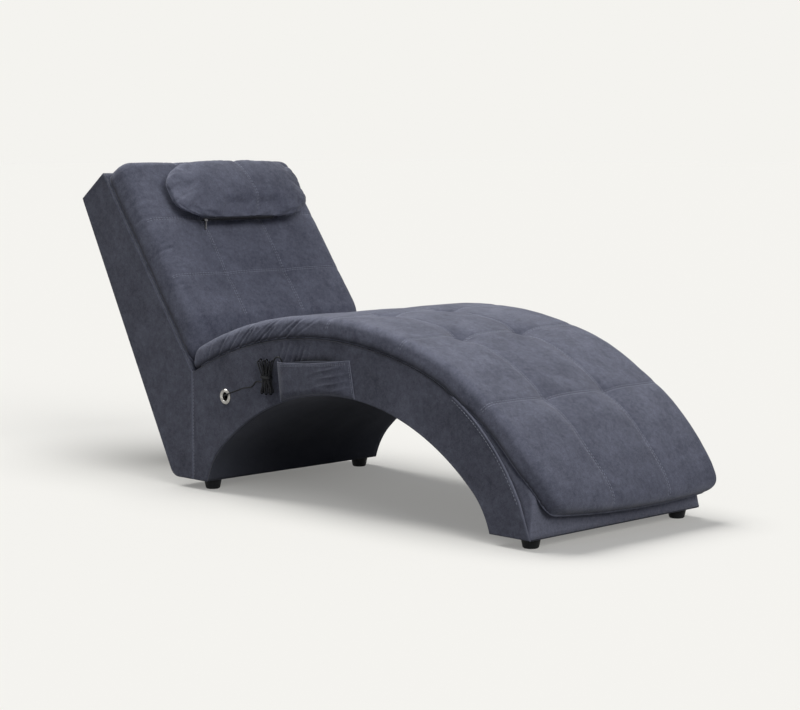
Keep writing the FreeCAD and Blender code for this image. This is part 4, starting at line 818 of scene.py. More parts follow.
    def build(self, material, pressure, cap, grow):
        points, wear_and_shade, pinned = [], [], []
        for along, share in self.rows:
            made, rub_and_shade, pins = self.ring(along, share)
            pinned += [len(points) + i for i, held in enumerate(pins) if held]
            points += made
            wear_and_shade += rub_and_shade
        count = len(points) // len(self.rows)
        faces = ring_faces(count, len(self.rows))
        columns = len(self.columns)
        low = columns + (count - 2 * columns) // 2
        for first in (0, count * (len(self.rows) - 1)):
            for i in range(columns - 1):
                faces.append((first + i, first + i + 1, first + low + columns - 2 - i,
                              first + low + columns - 1 - i))
            faces.append(tuple(first + i for i in range(columns - 1, low + 1)))
            faces.append(tuple(first + i % count for i in range(low + columns - 1, count + 1)))
        obj = make_piece(self.name, points, faces, material, wear_and_shade)
        inflate(obj, pinned, pressure, cap, grow)
        subdivide(obj)
        return obj

    def lower_edge(self):
        """The line that the piping follows: along one side, round the end and back."""
        rows = [along for along, share in self.rows if share == 1.0 and along > self.start_low]
        sides = [[self.at(along, side * (self.half_at(along, side) - PIPE_INSET), PIPE_RISE) for along in rows]
                 for side in (-1, 1)]
        reach = self.half - max(self.end_plan) - PIPE_INSET
        front = [self.at(rows[-1], reach * (k / 14 - 1), PIPE_RISE) for k in range(1, 28)]
        return sides[0] + front + sides[1][::-1]


SEAT_CROSS = [seat_length(angle) for angle in (-14.5, 0.5, 13.6, 39.5)]
SEAT = Cushion(
    name="seat_cushion", place=on_seat, start=seat_start, length=SEAT_LENGTH, half=262.6,
    height=SEAT_THICK, cross=SEAT_CROSS, seam_y=(90.0, 90.0), end_top=24.0, end_plan=(30.0, 16.0),
    start_top=18.0, start_low=26.0, start_plan=14.0, long_depth=2.6, cross_depth=1.5,
    tuft_depth=11.0, tuft_width=31.0, shoulder=19.0, bulge=1.3, draw=0.8,
    tufts=[(mark, side, share) for mark, share in zip(SEAT_CROSS, (0.6, 1.0, 1.15, 0.55))
           for side in (-90.0, 90.0)],
    taper=(12.0, 0.048), fuller_end=(4.0, 6.0, 11.0))
BACK_LONG = 538.0
BACK_CROSS = [0.28 * BACK_LONG, 0.624 * BACK_LONG]
BACK = Cushion(
    name="back_cushion", place=on_back, start=back_start, length=BACK_LONG, half=258.5,
    height=BACK_THICK - 0.5, cross=BACK_CROSS, seam_y=(97.0, 78.0), end_top=26.0, end_plan=(28.0, 28.0),
    start_top=22.0, start_low=2.0, start_plan=44.0, long_depth=2.4, cross_depth=1.1,
    tuft_depth=2.5, tuft_width=26.0, shoulder=26.0, bulge=2.5, draw=2.0,
    tufts=[(mark, side, 1.0) for mark in BACK_CROSS for side in (-97.0, 78.0)], sideways=1.5)


def surface_of(obj):
    return BVHTree.FromObject(obj, bpy.context.evaluated_depsgraph_get())


def dropped(surface, point, way, lift):
    """Where a line meets a surface, lifted off it, all in millimetres."""
    way = Vector(way).normalized()
    hit = surface.ray_cast(Vector(point) * MM, way, 0.4)[0]
    return None if hit is None else (hit - way * lift * MM) / MM


STITCH_SHARE = 0.66
ROW_OFFSETS = (-2.6, 2.6)


def stitch_mesh(pairs, radius):
    """Little raised stitches, each a tapered bar between two points."""
    points, faces = [], []
    for a, b in pairs:
        way = b - a
        run = [a, a + way * 0.18, a + way * 0.82, b]
        made, fresh = tube_mesh(run, radius, 6, len(points))
        centre_a, centre_b = Vector(run[0]), Vector(run[-1])
        made = [tuple(centre_a + (Vector(p) - centre_a) * 0.35) for p in made[:6]] + made[6:18] \
            + [tuple(centre_b + (Vector(p) - centre_b) * 0.35) for p in made[18:]]
        points += made
        faces += fresh
    return points, faces


def stitched(name, lines, pitch=7.6, radius=0.58):
    """Stitches along lines of surface points."""
    pairs = []
    for line in lines:
        line = [Vector(p) for p in line if p is not None]
        if len(line) < 2:
            continue
        steps = np.cumsum([0.0] + [(b - a).length for a, b in zip(line, line[1:])])
        table = np.array([list(p) for p in line])

        def at(distance):
            return Vector([float(np.interp(distance, steps, table[:, k])) for k in range(3)])

        place = 1.0
        while place + pitch * STITCH_SHARE < steps[-1]:
            pairs.append((at(place), at(place + pitch * STITCH_SHARE)))
            place += pitch * RNG.uniform(0.97, 1.03)
    points, faces = stitch_mesh(pairs, radius)
    return make_piece(name, points, faces, THREAD)


def seam_lines(cushion, surface, way_at):
    """Double rows of stitches along a cushion's long seams and cross seams."""
    def on_top(along, y):
        down = way_at(cushion.start(cushion.height) + along)
        return dropped(surface, cushion.at(along, y, cushion.height) - np.array(down) * 40.0, down, 0.05)

    reach = cushion.half - 6.0
    lines = [[on_top(along, side + offset) for along in np.arange(14.0, cushion.length - 3.0, 4.0)]
             for side in (-cushion.seam_y[0], cushion.seam_y[1]) for offset in ROW_OFFSETS]
    return lines + [[on_top(mark + offset, y) for y in np.arange(-reach, reach + 0.1, 4.0)]
                    for mark in cushion.cross for offset in ROW_OFFSETS]


def side_ticks(cushion, surface, side):
    """Short stitched ends of the cross seams, over the cushion's edge and down its side."""
    return [[dropped(surface, cushion.at(mark + offset, side * (cushion.half + 60.0), rise), (0, -side, 0), 0.1)
             for rise in np.arange(cushion.height - 5.0, cushion.height * 0.4, -3.0)]
            for mark in cushion.cross for offset in ROW_OFFSETS]


def make_cushions():
    seat = SEAT.build(TOP_SUEDE, 3.2, 6.0, 0.03)
    crumple_seat(seat)
    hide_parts("seat_cushion_cover", "seat_cushion_foam")
    back = BACK.build(TOP_SUEDE, 2.6, 6.0, 0.03)
    crumple_back(back)
    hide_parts("back_cushion_cover", "back_cushion_foam", "heating_pad")
    surface = surface_of(seat)
    lines = seam_lines(SEAT, surface, lambda length: solid(-spoke(seat_angle(length)), 0))
    lines += side_ticks(SEAT, surface, -1) + side_ticks(SEAT, surface, 1)
    seat_thread = stitched("seat_stitching", lines)
    lines = seam_lines(BACK, surface_of(back), lambda length: solid(-OUT, 0))
    back_thread = stitched("back_stitching", lines)
    line = SEAT.lower_edge()
    tips = [0.75 * smooth_step((point[0] - 560) / 90) for point in line]
    seat_pipe = tube_piece("seat_piping", line, 1.9, TOP_SUEDE, tips, 10)
    back_pipe = tube_piece("back_piping", BACK.lower_edge(), 1.9, TOP_SUEDE, 0.1, 10)
    assign("frame", "suede", seat, back, seat_thread, back_thread, seat_pipe, back_pipe)


def ridged(value, sharpness=2.0):
    """A crease profile: narrow valleys between broad folds."""
    return (1 - abs(math.sin(value))) ** sharpness


# Folds low on the seat cushion's near side: place along the lower edge, depth and lean
SIDE_FOLDS = (
    (58, 1.6, 0.9), (96, 2.2, 1.2), (133, 2.6, 1.5), (166, 4.2, 1.6), (189, 2.4, 1.3), (214, 2.6, 1.9),
    (236, 4.4, 1.7), (262, 2.2, 1.2), (292, 2.0, 1.8), (321, 3.8, 1.5), (352, 1.6, 1.9),
)


def crumple_seat(obj):
    """Diagonal folds low on the near side, puckers at the foot end and a gentle unevenness."""
    def move_at(x, y, z):
        move = 0.6 * wave((x, y, z), 60.0) + 0.3 * wave((x, y, z), 22.0, 7.0)
        angle = angle_of(CROWN, (x, z))
        if y < -225 and angle < CROWN_TURN:
            rise = math.hypot(x - CROWN[0], z - CROWN[1]) - CROWN_RADIUS
            along = math.radians(angle - FOLD_ANGLE) * CROWN_RADIUS
            low = smooth_step((50 - rise) / 24) * smooth_step((-y - 228) / 22)
            for place, depth, lean in SIDE_FOLDS:
                offset = along - place - lean * rise + 3.0 * wave((along, rise, 0), 22.0, place)
                move -= depth * low * (bump_at(offset, 3.4) - 0.45 * bump_at(offset - 8, 5.5))
        if x > 560:
            tip = seat_length(max(angle_of(FOOT, (x, z)), CROWN_TURN))
            close = smooth_step((tip - (SEAT_LENGTH - 44)) / 30)
            strength = 0.45 + 0.55 * wave((0, y, 0), 46.0, 2.0)
            move -= 1.9 * close * max(0.0, strength) * ridged(y / 4.4 + 1.4 * wave((x, y, z), 48.0, 5.0), 2.2)
            corner = smooth_step((tip - (SEAT_LENGTH - 105)) / 50) * smooth_step((-y - 205) / 30)
            move -= 1.7 * corner * ridged(tip / 4.0 + 0.05 * y, 2.2)
        return move

    points = displaced(obj, move_at)
    # Over the pocket the near side stays in line with the frame's
    near = points[:, 0] < 260
    points[near, 1] = np.maximum(points[near, 1], -HALF - 0.9)
    set_coordinates(obj.data, points * MM)


def crumple_back(obj):
    """Gathers along the back's near edge and at its top, and a gentle unevenness."""
    def move_at(x, y, z):
        flat = np.array((x, z)) - FOLD
        along, rise = float(flat @ UP), float(flat @ OUT)
        move = 0.6 * wave((x, y, z), 70.0, 1.0) + 0.35 * wave((x, y, z), 25.0, 4.0)
        if y < -130 and rise > 20:
            fan = smooth_step((along - 140) / 30) * smooth_step((352 - along) / 40)
            length = 20 + 30 * (0.5 + 0.9 * wave((along, 0, 0), 16.0, 5.0))
            zone = smooth_step((-y - 252 + 26 + length) / length) * smooth_step((rise - 16) / 20)
            bend = 0.0022 * (252 + y) ** 2 / 10
            fold = ridged((along - bend) / 4.6 + 2.6 * wave((x, y, z), 46.0, 8.0), 1.8)
            move -= 2.3 * zone * fan * fold * max(0.1, 0.5 + 1.3 * wave((along, y, 0), 34.0))
            move -= 0.9 * zone * (1 - fan) * ridged(along / 7.5 + wave((x, y, z), 60.0, 3.0), 2.0)
        if along > 470 and rise > 30:
            top = smooth_step((along - 478) / 40)
            move -= 1.6 * top * ridged(y / 5.0 + wave((x, y, z), 40.0, 6.0), 2.0) \
                * max(0.0, 0.3 + wave((0, y, 0), 50.0, 12.0)) * smooth_step((120 - abs(y + 60)) / 60)
        return move

    set_coordinates(obj.data, displaced(obj, move_at) * MM)


make_cushions()


# Headrest pillow
PILLOW_RISE, PILLOW_Y, PILLOW_OUT = 420.0, 14.0, BACK_THICK + 1.0
PILLOW_HALF = (77.0, 199.0, 36.5)


def on_pillow(along, across, out):
    """A point by its place from the pillow's middle, up the back, across and out of its base."""
    return solid(FOLD + UP * (PILLOW_RISE + along) + OUT * (PILLOW_OUT + out), PILLOW_Y + across)


def make_pillow():
    work = bmesh.new()
    bmesh.ops.create_cube(work, size=2.0)
    bmesh.ops.subdivide_edges(work, edges=work.edges, cuts=27, use_grid_fill=True)
    pins = set()
    for vert in work.verts:
        a, c, t = vert.co
        plan = (abs(a) ** 3.3 + abs(c) ** 4.6) ** (1 / 4.0)
        size = (plan ** 2.3 + abs(t) ** 2.3) ** (1 / 2.3)
        a, c, t = a / size, c / size, t / size
        end = smooth_step((abs(c) - 0.62) / 0.38)
        along = a * (PILLOW_HALF[0] - 6.0 * end) - 1.0
        across = c * (PILLOW_HALF[1] - 3.0)
        out = PILLOW_HALF[2] * (1.0 + t * 0.97) * (1 - 0.04 * end) + 1.0 * end
        vert.co = Vector(on_pillow(along, across, out)) * MM
        if (abs(t) < 0.12 and a < -0.8) or t < -0.75:
            pins.add(vert)
    mesh = bpy.data.meshes.new("headrest_pillow")
    work.verts.index_update()
    pins = sorted(vert.index for vert in pins)
    work.to_mesh(mesh)
    work.free()
    tidy_mesh(mesh)
    mesh.materials.append(TOP_SUEDE)
    pillow = link(bpy.data.objects.new("headrest_pillow", mesh))
    inflate(pillow, pins, 3.5, 6.0, 0.05)
    subdivide(pillow)
    wear_and_shade = []

    def move_at(x, y, z):
        flat = np.array((x, z)) - FOLD
        along, out = float(flat @ UP) - PILLOW_RISE, float(flat @ OUT) - PILLOW_OUT
        across = y - PILLOW_Y
        move = 0.6 * wave((x, y, z), 55.0, 2.0) + 0.3 * wave((x, y, z), 20.0, 6.0)
        upper = smooth_step((out - 14) / 20)
        left = smooth_step((-across - 118) / 60)
        right = smooth_step((across - 128) / 50)
        fan = math.atan2(along - 10, -(across + 60))
        radial = ridged(13.0 * fan + 1.1 * wave((x, y, z), 40.0), 2.0)
        move -= 2.2 * left * radial * upper * (0.5 + 0.6 * wave((x, y, z), 45.0, 15.0))
        move -= 1.3 * right * ridged(along / 6.0 + 1.4 * wave((x, y, z), 60.0), 2.2) * upper
        seam = bump_at(across - 11 + 0.15 * along, 5.0)
        move -= (1.8 * seam + 1.0 * bump_at(across - 11 + 0.15 * along, 24.0)) * upper
        gather = smooth_step((abs(along) - 40) / 26) * upper
        move -= 0.7 * gather * ridged(across / 6.5 + wave((x, y, z), 50.0, 9.0), 2.0)
        lower = bump_at(along + 66, 12.0)
        wear_and_shade.append(0.25 * lower + 0.2 * bump_at(out - 38, 7.0) + 0.35 * left * upper * (1 - radial))
        return move

    set_coordinates(pillow.data, displaced(pillow, move_at) * MM)
    layer = pillow.data.attributes.new("wear_and_shade", "FLOAT", "POINT")
    layer.data.foreach_set("value", np.asarray(wear_and_shade, np.float32))
    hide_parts("pillow_cover", "pillow_filling")
    surface = surface_of(pillow)
    lines = [[dropped(surface, on_pillow(along, 11 - 0.15 * along + offset, 140.0), solid(-OUT, 0), 0.05)
              for along in np.arange(-66.0, 62.0, 4.0)] for offset in (-2.2, 2.2)]
    thread = stitched("pillow_stitching", lines)
    ring = []
    for k in range(160):
        turn = 2 * math.pi * k / 160
        a, c = math.sin(turn), math.cos(turn)
        size = (abs(a) ** 3.6 + abs(c) ** 5.5) ** (1 / 4.4)
        level = 24.0 - 11.0 * smooth_step((-a / size - 0.3) / 0.5)
        target = on_pillow(a / size * (PILLOW_HALF[0] + 40), c / size * (PILLOW_HALF[1] + 40), level)
        middle = Vector(on_pillow(0, c / size * (PILLOW_HALF[1] - 60), level))
        hit = dropped(surface, target, middle - Vector(target), -0.3)
        if hit is not None:
            ring.append(hit)
    pipe = tube_piece("pillow_piping", ring, 1.7, TOP_SUEDE, 0.7, closed=True)
    assign("pillow", "suede", pillow, thread, pipe)


make_pillow()


TOOTH = (0.75, 1.3, 0.55)
TOOTH_PITCH = 2.3
BLOCK_FACES = ((0, 1, 3, 2), (4, 6, 7, 5), (0, 4, 5, 1), (2, 3, 7, 6), (0, 2, 6, 4), (1, 5, 7, 3))


def make_zip():
    """The pillow's zip: two woven tapes and a row of interlocked teeth."""
    low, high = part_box("zip_tape")
    middle = (low + high) / 2 / MM
    across, out, up = Vector((0, 1, 0)), Vector(solid(OUT, 0)), Vector(solid(UP, 0))
    length = (high[1] - low[1]) / MM
    points, faces = [], []
    steps = 60
    for side in (-1, 1):
        first = len(points)
        for k in range(steps + 1):
            y = -length / 2 + length * k / steps
            for b, c in ((0.5, 0.55), (0.5, -0.35), (2.6, -0.5), (5.7, -0.15 + 0.1 * math.sin(k)),
                         (5.7, 0.6), (2.6, 0.6)):
                points.append(middle + across * y + out * (b * side) + up * c)
        faces.extend(ring_faces(6, steps + 1, first))
        faces.append(tuple(range(first, first + 6)))
        faces.append(tuple(range(first + steps * 6, first + steps * 6 + 6)))
    tape = make_piece("zip_tapes", points, faces, TAPE, smooth=False)
    points, faces = [], []
    count = int(length / TOOTH_PITCH)
    for k in range(count):
        y = -length / 2 + 1.6 + k * (length - 3.2) / (count - 1)
        centre = middle + across * y + out * (0.7 if k % 2 else -0.7) + up * -0.45
        faces += [tuple(len(points) + corner for corner in face) for face in BLOCK_FACES]
        points += [centre + across * a * TOOTH[0] + out * b * TOOTH[1] + up * c * TOOTH[2]
                   for a in (-1, 1) for b in (-1, 1) for c in (-1, 1)]
    teeth = make_piece("zip_teeth", points, faces, BLACK_PLASTIC, smooth=False)
    bevel = teeth.modifiers.new("Bevel", "BEVEL")
    bevel.width = 0.0002
    bevel.segments = 2
    settle(teeth)
    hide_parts("zip_tape")
    assign("pillow", "zip_tape", tape, teeth)


make_zip()


# Side outline of the frame, as runs of points
def arc_run(centre, radius, first, last, step=8.0):
    count = max(2, round(abs(math.radians(last - first)) * radius / step))
    return [centre + spoke(first + (last - first) * k / count) * radius for k in range(count + 1)]


def line_run(first, last, step=9.0):
    count = max(1, round(float(np.linalg.norm(last - first)) / step))
    return [first + (last - first) * k / count for k in range(count + 1)]


def arch_end(way):
    centre = ARCH + spoke(way * ARCH_TURN) * (ARCH_RADIUS - HAUNCH_RADIUS)
    drop = SOLE - centre[1]
    foot = np.array((centre[0] + way * math.sqrt(HAUNCH_RADIUS ** 2 - drop ** 2), SOLE))
    return foot, centre


TOE = np.array((seat_point(FOOT_TURN, 0)[0] + 27.3, SOLE))
TOP_FRONT = FOLD + UP * BACK_LENGTH
TOP_REAR = TOP_FRONT - OUT * BACK_DEPTH
FLANK = np.array((math.sin(math.radians(FLANK_TILT)), -math.cos(math.radians(FLANK_TILT))))
HEEL = TOP_REAR + FLANK * ((TOP_REAR[1] - SOLE) / -FLANK[1])
REAR_FOOT, REAR_HAUNCH = arch_end(-1)
FRONT_FOOT, FRONT_HAUNCH = arch_end(1)


def heel_arc():
    back = -FLANK
    on = np.array((1.0, 0.0))
    half = math.acos(float(back @ on)) / 2
    reach = HEEL_RADIUS / math.tan(half)
    bisector = (back + on) / np.linalg.norm(back + on)
    centre = HEEL + bisector * (HEEL_RADIUS / math.sin(half))
    start, end = HEEL + back * reach, HEEL + on * reach
    return start, centre, end


HEEL_TOP, HEEL_CENTRE, HEEL_END = heel_arc()


def heel_run():
    first, last = angle_of(HEEL_CENTRE, HEEL_TOP), angle_of(HEEL_CENTRE, HEEL_END)
    if last > first:
        last -= 360
    return arc_run(HEEL_CENTRE, HEEL_RADIUS, first, last, 4.0)


RUNS = {
    "toe": line_run(TOE, seat_point(FOOT_TURN, 0), 6.0),
    "foot": arc_run(FOOT, FOOT_RADIUS, FOOT_TURN, CROWN_TURN),
    "crown": arc_run(CROWN, CROWN_RADIUS, CROWN_TURN, FOLD_ANGLE),
    "back": line_run(FOLD, TOP_FRONT),
    "top": line_run(TOP_FRONT, TOP_REAR, 6.0),
    "flank": line_run(TOP_REAR, HEEL_TOP),
    "heel": heel_run(),
    "rear_sole": line_run(HEEL_END, REAR_FOOT, 6.0),
    "rear_haunch": arc_run(REAR_HAUNCH, HAUNCH_RADIUS, angle_of(REAR_HAUNCH, REAR_FOOT), -ARCH_TURN),
    "arch": arc_run(ARCH, ARCH_RADIUS, -ARCH_TURN, ARCH_TURN),
    "front_haunch": arc_run(FRONT_HAUNCH, HAUNCH_RADIUS, ARCH_TURN, angle_of(FRONT_HAUNCH, FRONT_FOOT)),
    "front_sole": line_run(FRONT_FOOT, TOE, 6.0),
}


def joined(*names):
    points = []
    for name in names:
        run = RUNS[name]
        points += run if not points else run[1:]
    return points


def nearest(points, line):
    """Distance from each point to a closed or open run of points."""
    best = np.full(len(points), 1e9)
    for a, b in zip(line, line[1:]):
        way = b - a
        share = np.clip(((points - a) @ way) / max(float(way @ way), 1e-9), 0, 1)
        best = np.minimum(best, np.linalg.norm(points - (a + share[:, None] * way), axis=1))
    return best


def inside(points, polygon):
    """Which points lie inside a closed polygon."""
    result = np.zeros(len(points), bool)
    x, z = points[:, 0], points[:, 1]
    for a, b in zip(polygon, polygon[1:] + polygon[:1]):
        crosses = (a[1] > z) != (b[1] > z)
        with np.errstate(divide="ignore", invalid="ignore"):
            at = (b[0] - a[0]) * (z - a[1]) / (b[1] - a[1]) + a[0]
        result ^= crosses & (x < at)
    return result


# Side pocket's rim, from rear to front, how far it sags between, and the eyelet's hole in the side
RIM_REAR, RIM_FRONT, RIM_SAG = np.array((-39.0, 307.5)), np.array((185.0, 326.5)), 4.0
EYELET_HOLE = (np.array((-213.0, 218.0)), 12.0)
PANEL_STEP = 9.0


def rim_point(u):
    sag = RIM_SAG * math.sin(math.pi * u) ** 1.3
    return RIM_REAR + (RIM_FRONT - RIM_REAR) * u - np.array((0.0, sag))


def panel(name, outline, side, split, ridge, hole=None):
    """A padded side panel with turned edges, cut to an outline and set on the frame's side, with painted shade
    along the seat's lower line and above the pocket's rim.
    """
    closed = outline + outline[:1]
    low, high = np.min(outline, axis=0), np.max(outline, axis=0)

    def within(points, gap):
        """Those points that lie inside the outline, clear of its edge by a gap."""
        points = np.array(points)
        return points[inside(points, outline) & (nearest(points, closed) > gap)]

    rings = []
    for a, b, c in zip(outline[-1:] + outline[:-1], outline, closed[1:]):
        way = (c - a) / max(np.linalg.norm(c - a), 1e-9)
        normal = np.array((-way[1], way[0]))
        rings += [b + normal * inset for inset in (1.2, 3.0, 5.5, -1.2, -3.0, -5.5)]
    grid = [(x + (PANEL_STEP / 2 if r % 2 else 0), z)
            for r, z in enumerate(np.arange(low[1], high[1], PANEL_STEP * 0.87))
            for x in np.arange(low[0], high[0], PANEL_STEP)]
    extra = [within(rings, 0.9), within(grid, 8.5)]
    if side < 0:
        fine = [(x, z) for x in np.arange(-50.0, 170.0, 3.2) for z in np.arange(298.0, 350.0, 4.0)]
        extra.append(within(fine, 8.5) + 0.37)
    extra = np.vstack(extra)
    loops = [outline]
    if hole:
        centre, radius = hole
        extra = extra[np.linalg.norm(extra - centre, axis=1) > radius + 3.0]
        loops.append([centre + spoke(k * 15.0) * radius for k in range(24)])
    edges, first = [], 0
    for loop in loops:
        edges += [(first + k, first + (k + 1) % len(loop)) for k in range(len(loop))]
        first += len(loop)
    points = [Vector(p) for part in loops + [extra] for p in part]
    flat, _, faces = geometry.delaunay_2d_cdt(points, edges, [tuple(range(len(outline)))], 1, 1e-5)[:3]
    table = np.array([list(p) for p in flat])
    if hole:
        faces = [f for f in faces if np.linalg.norm(table[list(f)].mean(axis=0) - centre) > radius]
    edge, joint, worn = nearest(table, closed), nearest(table, split), nearest(table, ridge)
    under = nearest(table, RUNS["foot"][8:] + RUNS["crown"])
    front, back, wear_and_shade = [], [], []
    for (x, z), d, j, r, g in zip(table, edge, joint, worn, under):
        turn = rounded(d, 2.0 if j < 6 else 1.4)
        dent = 0.45 + 0.45 * wave((x, 0, z), 90.0, side * 3.0) + 0.25 * wave((x, 0, z), 34.0, side * 5.0)
        dent *= smooth_step(d / 12)
        if side < 0 and -60 < x < 200 and z > 296:
            # Creases and a hollow above the pocket
            rise = smooth_step((z - 296) / 12)
            zone = smooth_step((x + 48) / 20) * smooth_step((90 - x) / 70) * rise
            crease = ridged((x - 0.35 * (z - 320)) / 5.4 + wave((x, 0, z), 30.0), 1.8)
            dent += 3.0 * zone * smooth_step(d / 8) * crease
            hollow = smooth_step((x + 30) / 50) * smooth_step((190 - x) / 50) * smooth_step((z - 296) / 10)
            dent += 1.6 * hollow * smooth_step(d / 20)
        front.append((x, side * (HALF - turn - dent), z))
        back.append((x, side * (BOARD_OUTER + 0.4 - min(turn, 3.0)), z))
        # Painted shade: negative values darken a band along the seat's line and, on the near side, over the
        # pocket's rim
        shade = 0.9 * bump_at(g, 3.4)
        if side < 0 and -10 < x < 165:
            over = z - rim_point((x - RIM_REAR[0]) / (RIM_FRONT[0] - RIM_REAR[0]))[1]
            shade += bump_at(over - 2.0, 11.0) * smooth_step((x + 5) / 25) * smooth_step((150 - x) / 40)
        wear_and_shade.append(bump_at(r, 2.6) + 0.6 * bump_at(j, 2.0) - shade)
    count = len(front)
    every = [tuple(f) for f in faces] + [tuple(count + k for k in reversed(f)) for f in faces]
    seen = dict.fromkeys(pair for f in faces for pair in zip(f, list(f[1:]) + [f[0]]))
    every += [(b, a, count + a, count + b) for a, b in seen if (b, a) not in seen]
    return make_piece(name, front + back, every, SHADED_SIDE_SUEDE, wear_and_shade + [0.0] * count)


def make_panels():
    """Side panels, split at the upright seam under the back."""
    cut_top = float(FOLD[1])
    rear, split = RUNS["rear_sole"], np.array((FOLD_X, SOLE))
    seam = line_run(split, np.array((FOLD_X, cut_top)), 8.0)
    behind = [p for p in rear if p[0] < FOLD_X - 1] + [split]
    ahead = [split] + [p for p in rear if p[0] > FOLD_X + 1]
    under = joined("rear_haunch", "arch", "front_haunch", "front_sole")
    seat_outline = joined("toe", "foot", "crown") + seam[-2:0:-1] + ahead + under[1:-1]
    back_outline = joined("back", "top", "flank", "heel") + behind[1:] + seam[1:-1]
    ridge = [p for p in RUNS["foot"] if angle_of(FOOT, p) > 30]
    for label, side in (("right", -1), ("left", 1)):
        hole = EYELET_HOLE if side < 0 else None
        seat = panel(label + "_seat_side_panel", seat_outline, side, seam, [TOE] + ridge, hole)
        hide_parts(label + "_seat_side_cover")
        back = panel(label + "_back_side_panel", back_outline, side, seam, seam)
        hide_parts(label + "_back_side_cover")
        below = [point - (point - FOOT) / np.linalg.norm(point - FOOT) * 5.6 for point in ridge]
        beside = [(FOLD_X + 3.2, side * (HALF - 0.2), z) for z in np.arange(30.0, cut_top - 6, 4.0)]
        thread = stitched(label + "_side_stitching", [[solid(p, side * (HALF + 0.1)) for p in below], beside])
        edge = [solid(p, side * (HALF - 2.0)) for p in [TOE + np.array((-1.5, 1.5))] + ridge]
        fade = [0.3 + 1.6 * smooth_step((p[0] - 440) / 110) for p in edge]
        welt = tube_piece(label + "_foot_welt", edge, 1.9, SHADED_SIDE_SUEDE, fade)
        assign("frame", "suede", seat, back, thread, welt)


make_panels()


def strip(name, runs, material=SHADED_SIDE_SUEDE, crown=0.0, dent=0.4, wear_edge=0.3):
    """A cover across the frame along part of its outline, with a faint unevenness."""
    line = joined(*runs)
    last = len(line) - 1
    across = spaced(-BOARD_OUTER, BOARD_OUTER, 10.0)
    outer, inner, wear_and_shade = [], [], []
    for k, point in enumerate(line):
        way = line[min(last, k + 1)] - line[max(0, k - 1)]
        way = way / np.linalg.norm(way)
        normal = np.array((way[1], -way[0]))
        along = min(k, last - k) / max(last, 1)
        for y in across:
            edge = BOARD_OUTER - abs(y)
            dome = crown * smooth_step(edge / 60) * smooth_step(along * 8)
            rough = dent * wave((point[0], y, point[1]), 80.0, 11.0) * smooth_step(edge / 20)
            outer.append(solid(point + normal * (dome - abs(rough)), y))
            inner.append(solid(point - normal * COVER, y))
            wear_and_shade.append(wear_edge * bump_at(edge, 6.0))
    rows, columns = len(line), len(across)
    count = rows * columns
    faces = grid_faces(rows, columns) + [tuple(reversed(f)) for f in grid_faces(rows, columns, count)]
    return make_piece(name, outer + inner, faces + rim_faces(rows, columns), material, wear_and_shade + [0.0] * count)


def make_strips():
    seat = strip("seat_deck_panel", ("foot", "crown"), crown=1.3)
    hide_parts("seat_deck_cover")
    back = strip("back_deck_panel", ("back", "top"), wear_edge=0.4)
    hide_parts("back_deck_cover")
    rear = strip("rear_panel", ("flank", "heel", "rear_sole"), crown=3.0)
    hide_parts("rear_cover")
    toe = strip("toe_panel", ("toe",))
    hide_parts("toe_cover")
    under = strip("underside_lining_cloth", ("rear_haunch", "arch", "front_haunch", "front_sole"),
                  LINING, dent=1.2, wear_edge=0.0)
    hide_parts("underside_lining")
    assign("frame", "suede", seat, back, rear, toe)
    assign("frame", "lining", under)


make_strips()


WEDGE_HALF, WEDGE_SLANT = BOARD_OUTER + 3.0, 20.0


def make_wedge():
    """The foot end's wedge under the cushion: slanting sides, a front face and mitred corners."""
    stations = []
    feather = FOOT_TURN - WEDGE_SPAN * (1 - 2.0 / WEDGE_HEIGHT)
    for angle in np.linspace(feather, FOOT_TURN, 26):
        stations.append((seat_point(angle, SOFT_GAP / 2), seat_point(angle, wedge_rise(angle) - SOFT_GAP)))
    brow, brow_top = stations[-1]
    for share in (0.12, 0.25, 0.4, 0.55, 0.7, 0.85, 0.97):
        base = brow + (TOE - brow) * share
        top = brow_top + (TOE - brow_top) * share
        top[0] = max(top[0], base[0] + 2.0)
        stations.append((base, top))
    columns = spaced(-1.0, 1.0, 0.045)
    rising = [0.0, 0.38, 0.7, 0.92]
    lift = rising + [1.0] * len(columns) + rising[::-1]
    points, wear_and_shade = [], []
    for base, top in stations:
        out = float(np.linalg.norm(top - base))
        narrow = WEDGE_HALF - WEDGE_SLANT * out / WEDGE_HEIGHT
        slant = [-WEDGE_HALF + (WEDGE_HALF - narrow) * t for t in (0.0, 0.3, 0.6, 0.85)]
        across = slant + [narrow * c for c in columns] + [-y for y in slant[::-1]]
        for y, share in zip(across, lift):
            ripple = 0.5 * wave((top[0], y, top[1]), 45.0, 21.0) * share
            points.append(solid(base + (top - base) * share, y) + np.array((ripple, 0, ripple * 0.3)))
            wear_and_shade.append(0.5 * bump_at((1 - share) * out, 3.5) + 0.3 * bump_at(abs(share - 0.92) * 20, 2.0))
        for y in across[::-1][1:-1]:
            points.append(solid(base, y))
            wear_and_shade.append(0.0)
    count = len(points) // len(stations)
    faces = ring_faces(count, len(stations))
    faces.append(tuple(range(count)))
    faces.append(tuple(range(count * (len(stations) - 1), count * len(stations))))
    wedge = make_piece("foot_wedge_cover", points, faces, SHADED_SIDE_SUEDE, wear_and_shade)
    lines = []
    for side in (-1, 1):
        for gap in (2.5, 5.0):
            run = []
            for base, top in stations[4:-1]:
                out = float(np.linalg.norm(top - base))
                share = max(0.0, 1 - gap / max(out, 3.0))
                y = side * (WEDGE_HALF - WEDGE_SLANT * out / WEDGE_HEIGHT * share - 0.5)
                run.append(solid(base + (top - base) * share, y))
            lines.append(run)
    thread = stitched("wedge_stitching", lines)
    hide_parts("foot_wedge")
    assign("frame", "suede", wedge, thread)


make_wedge()


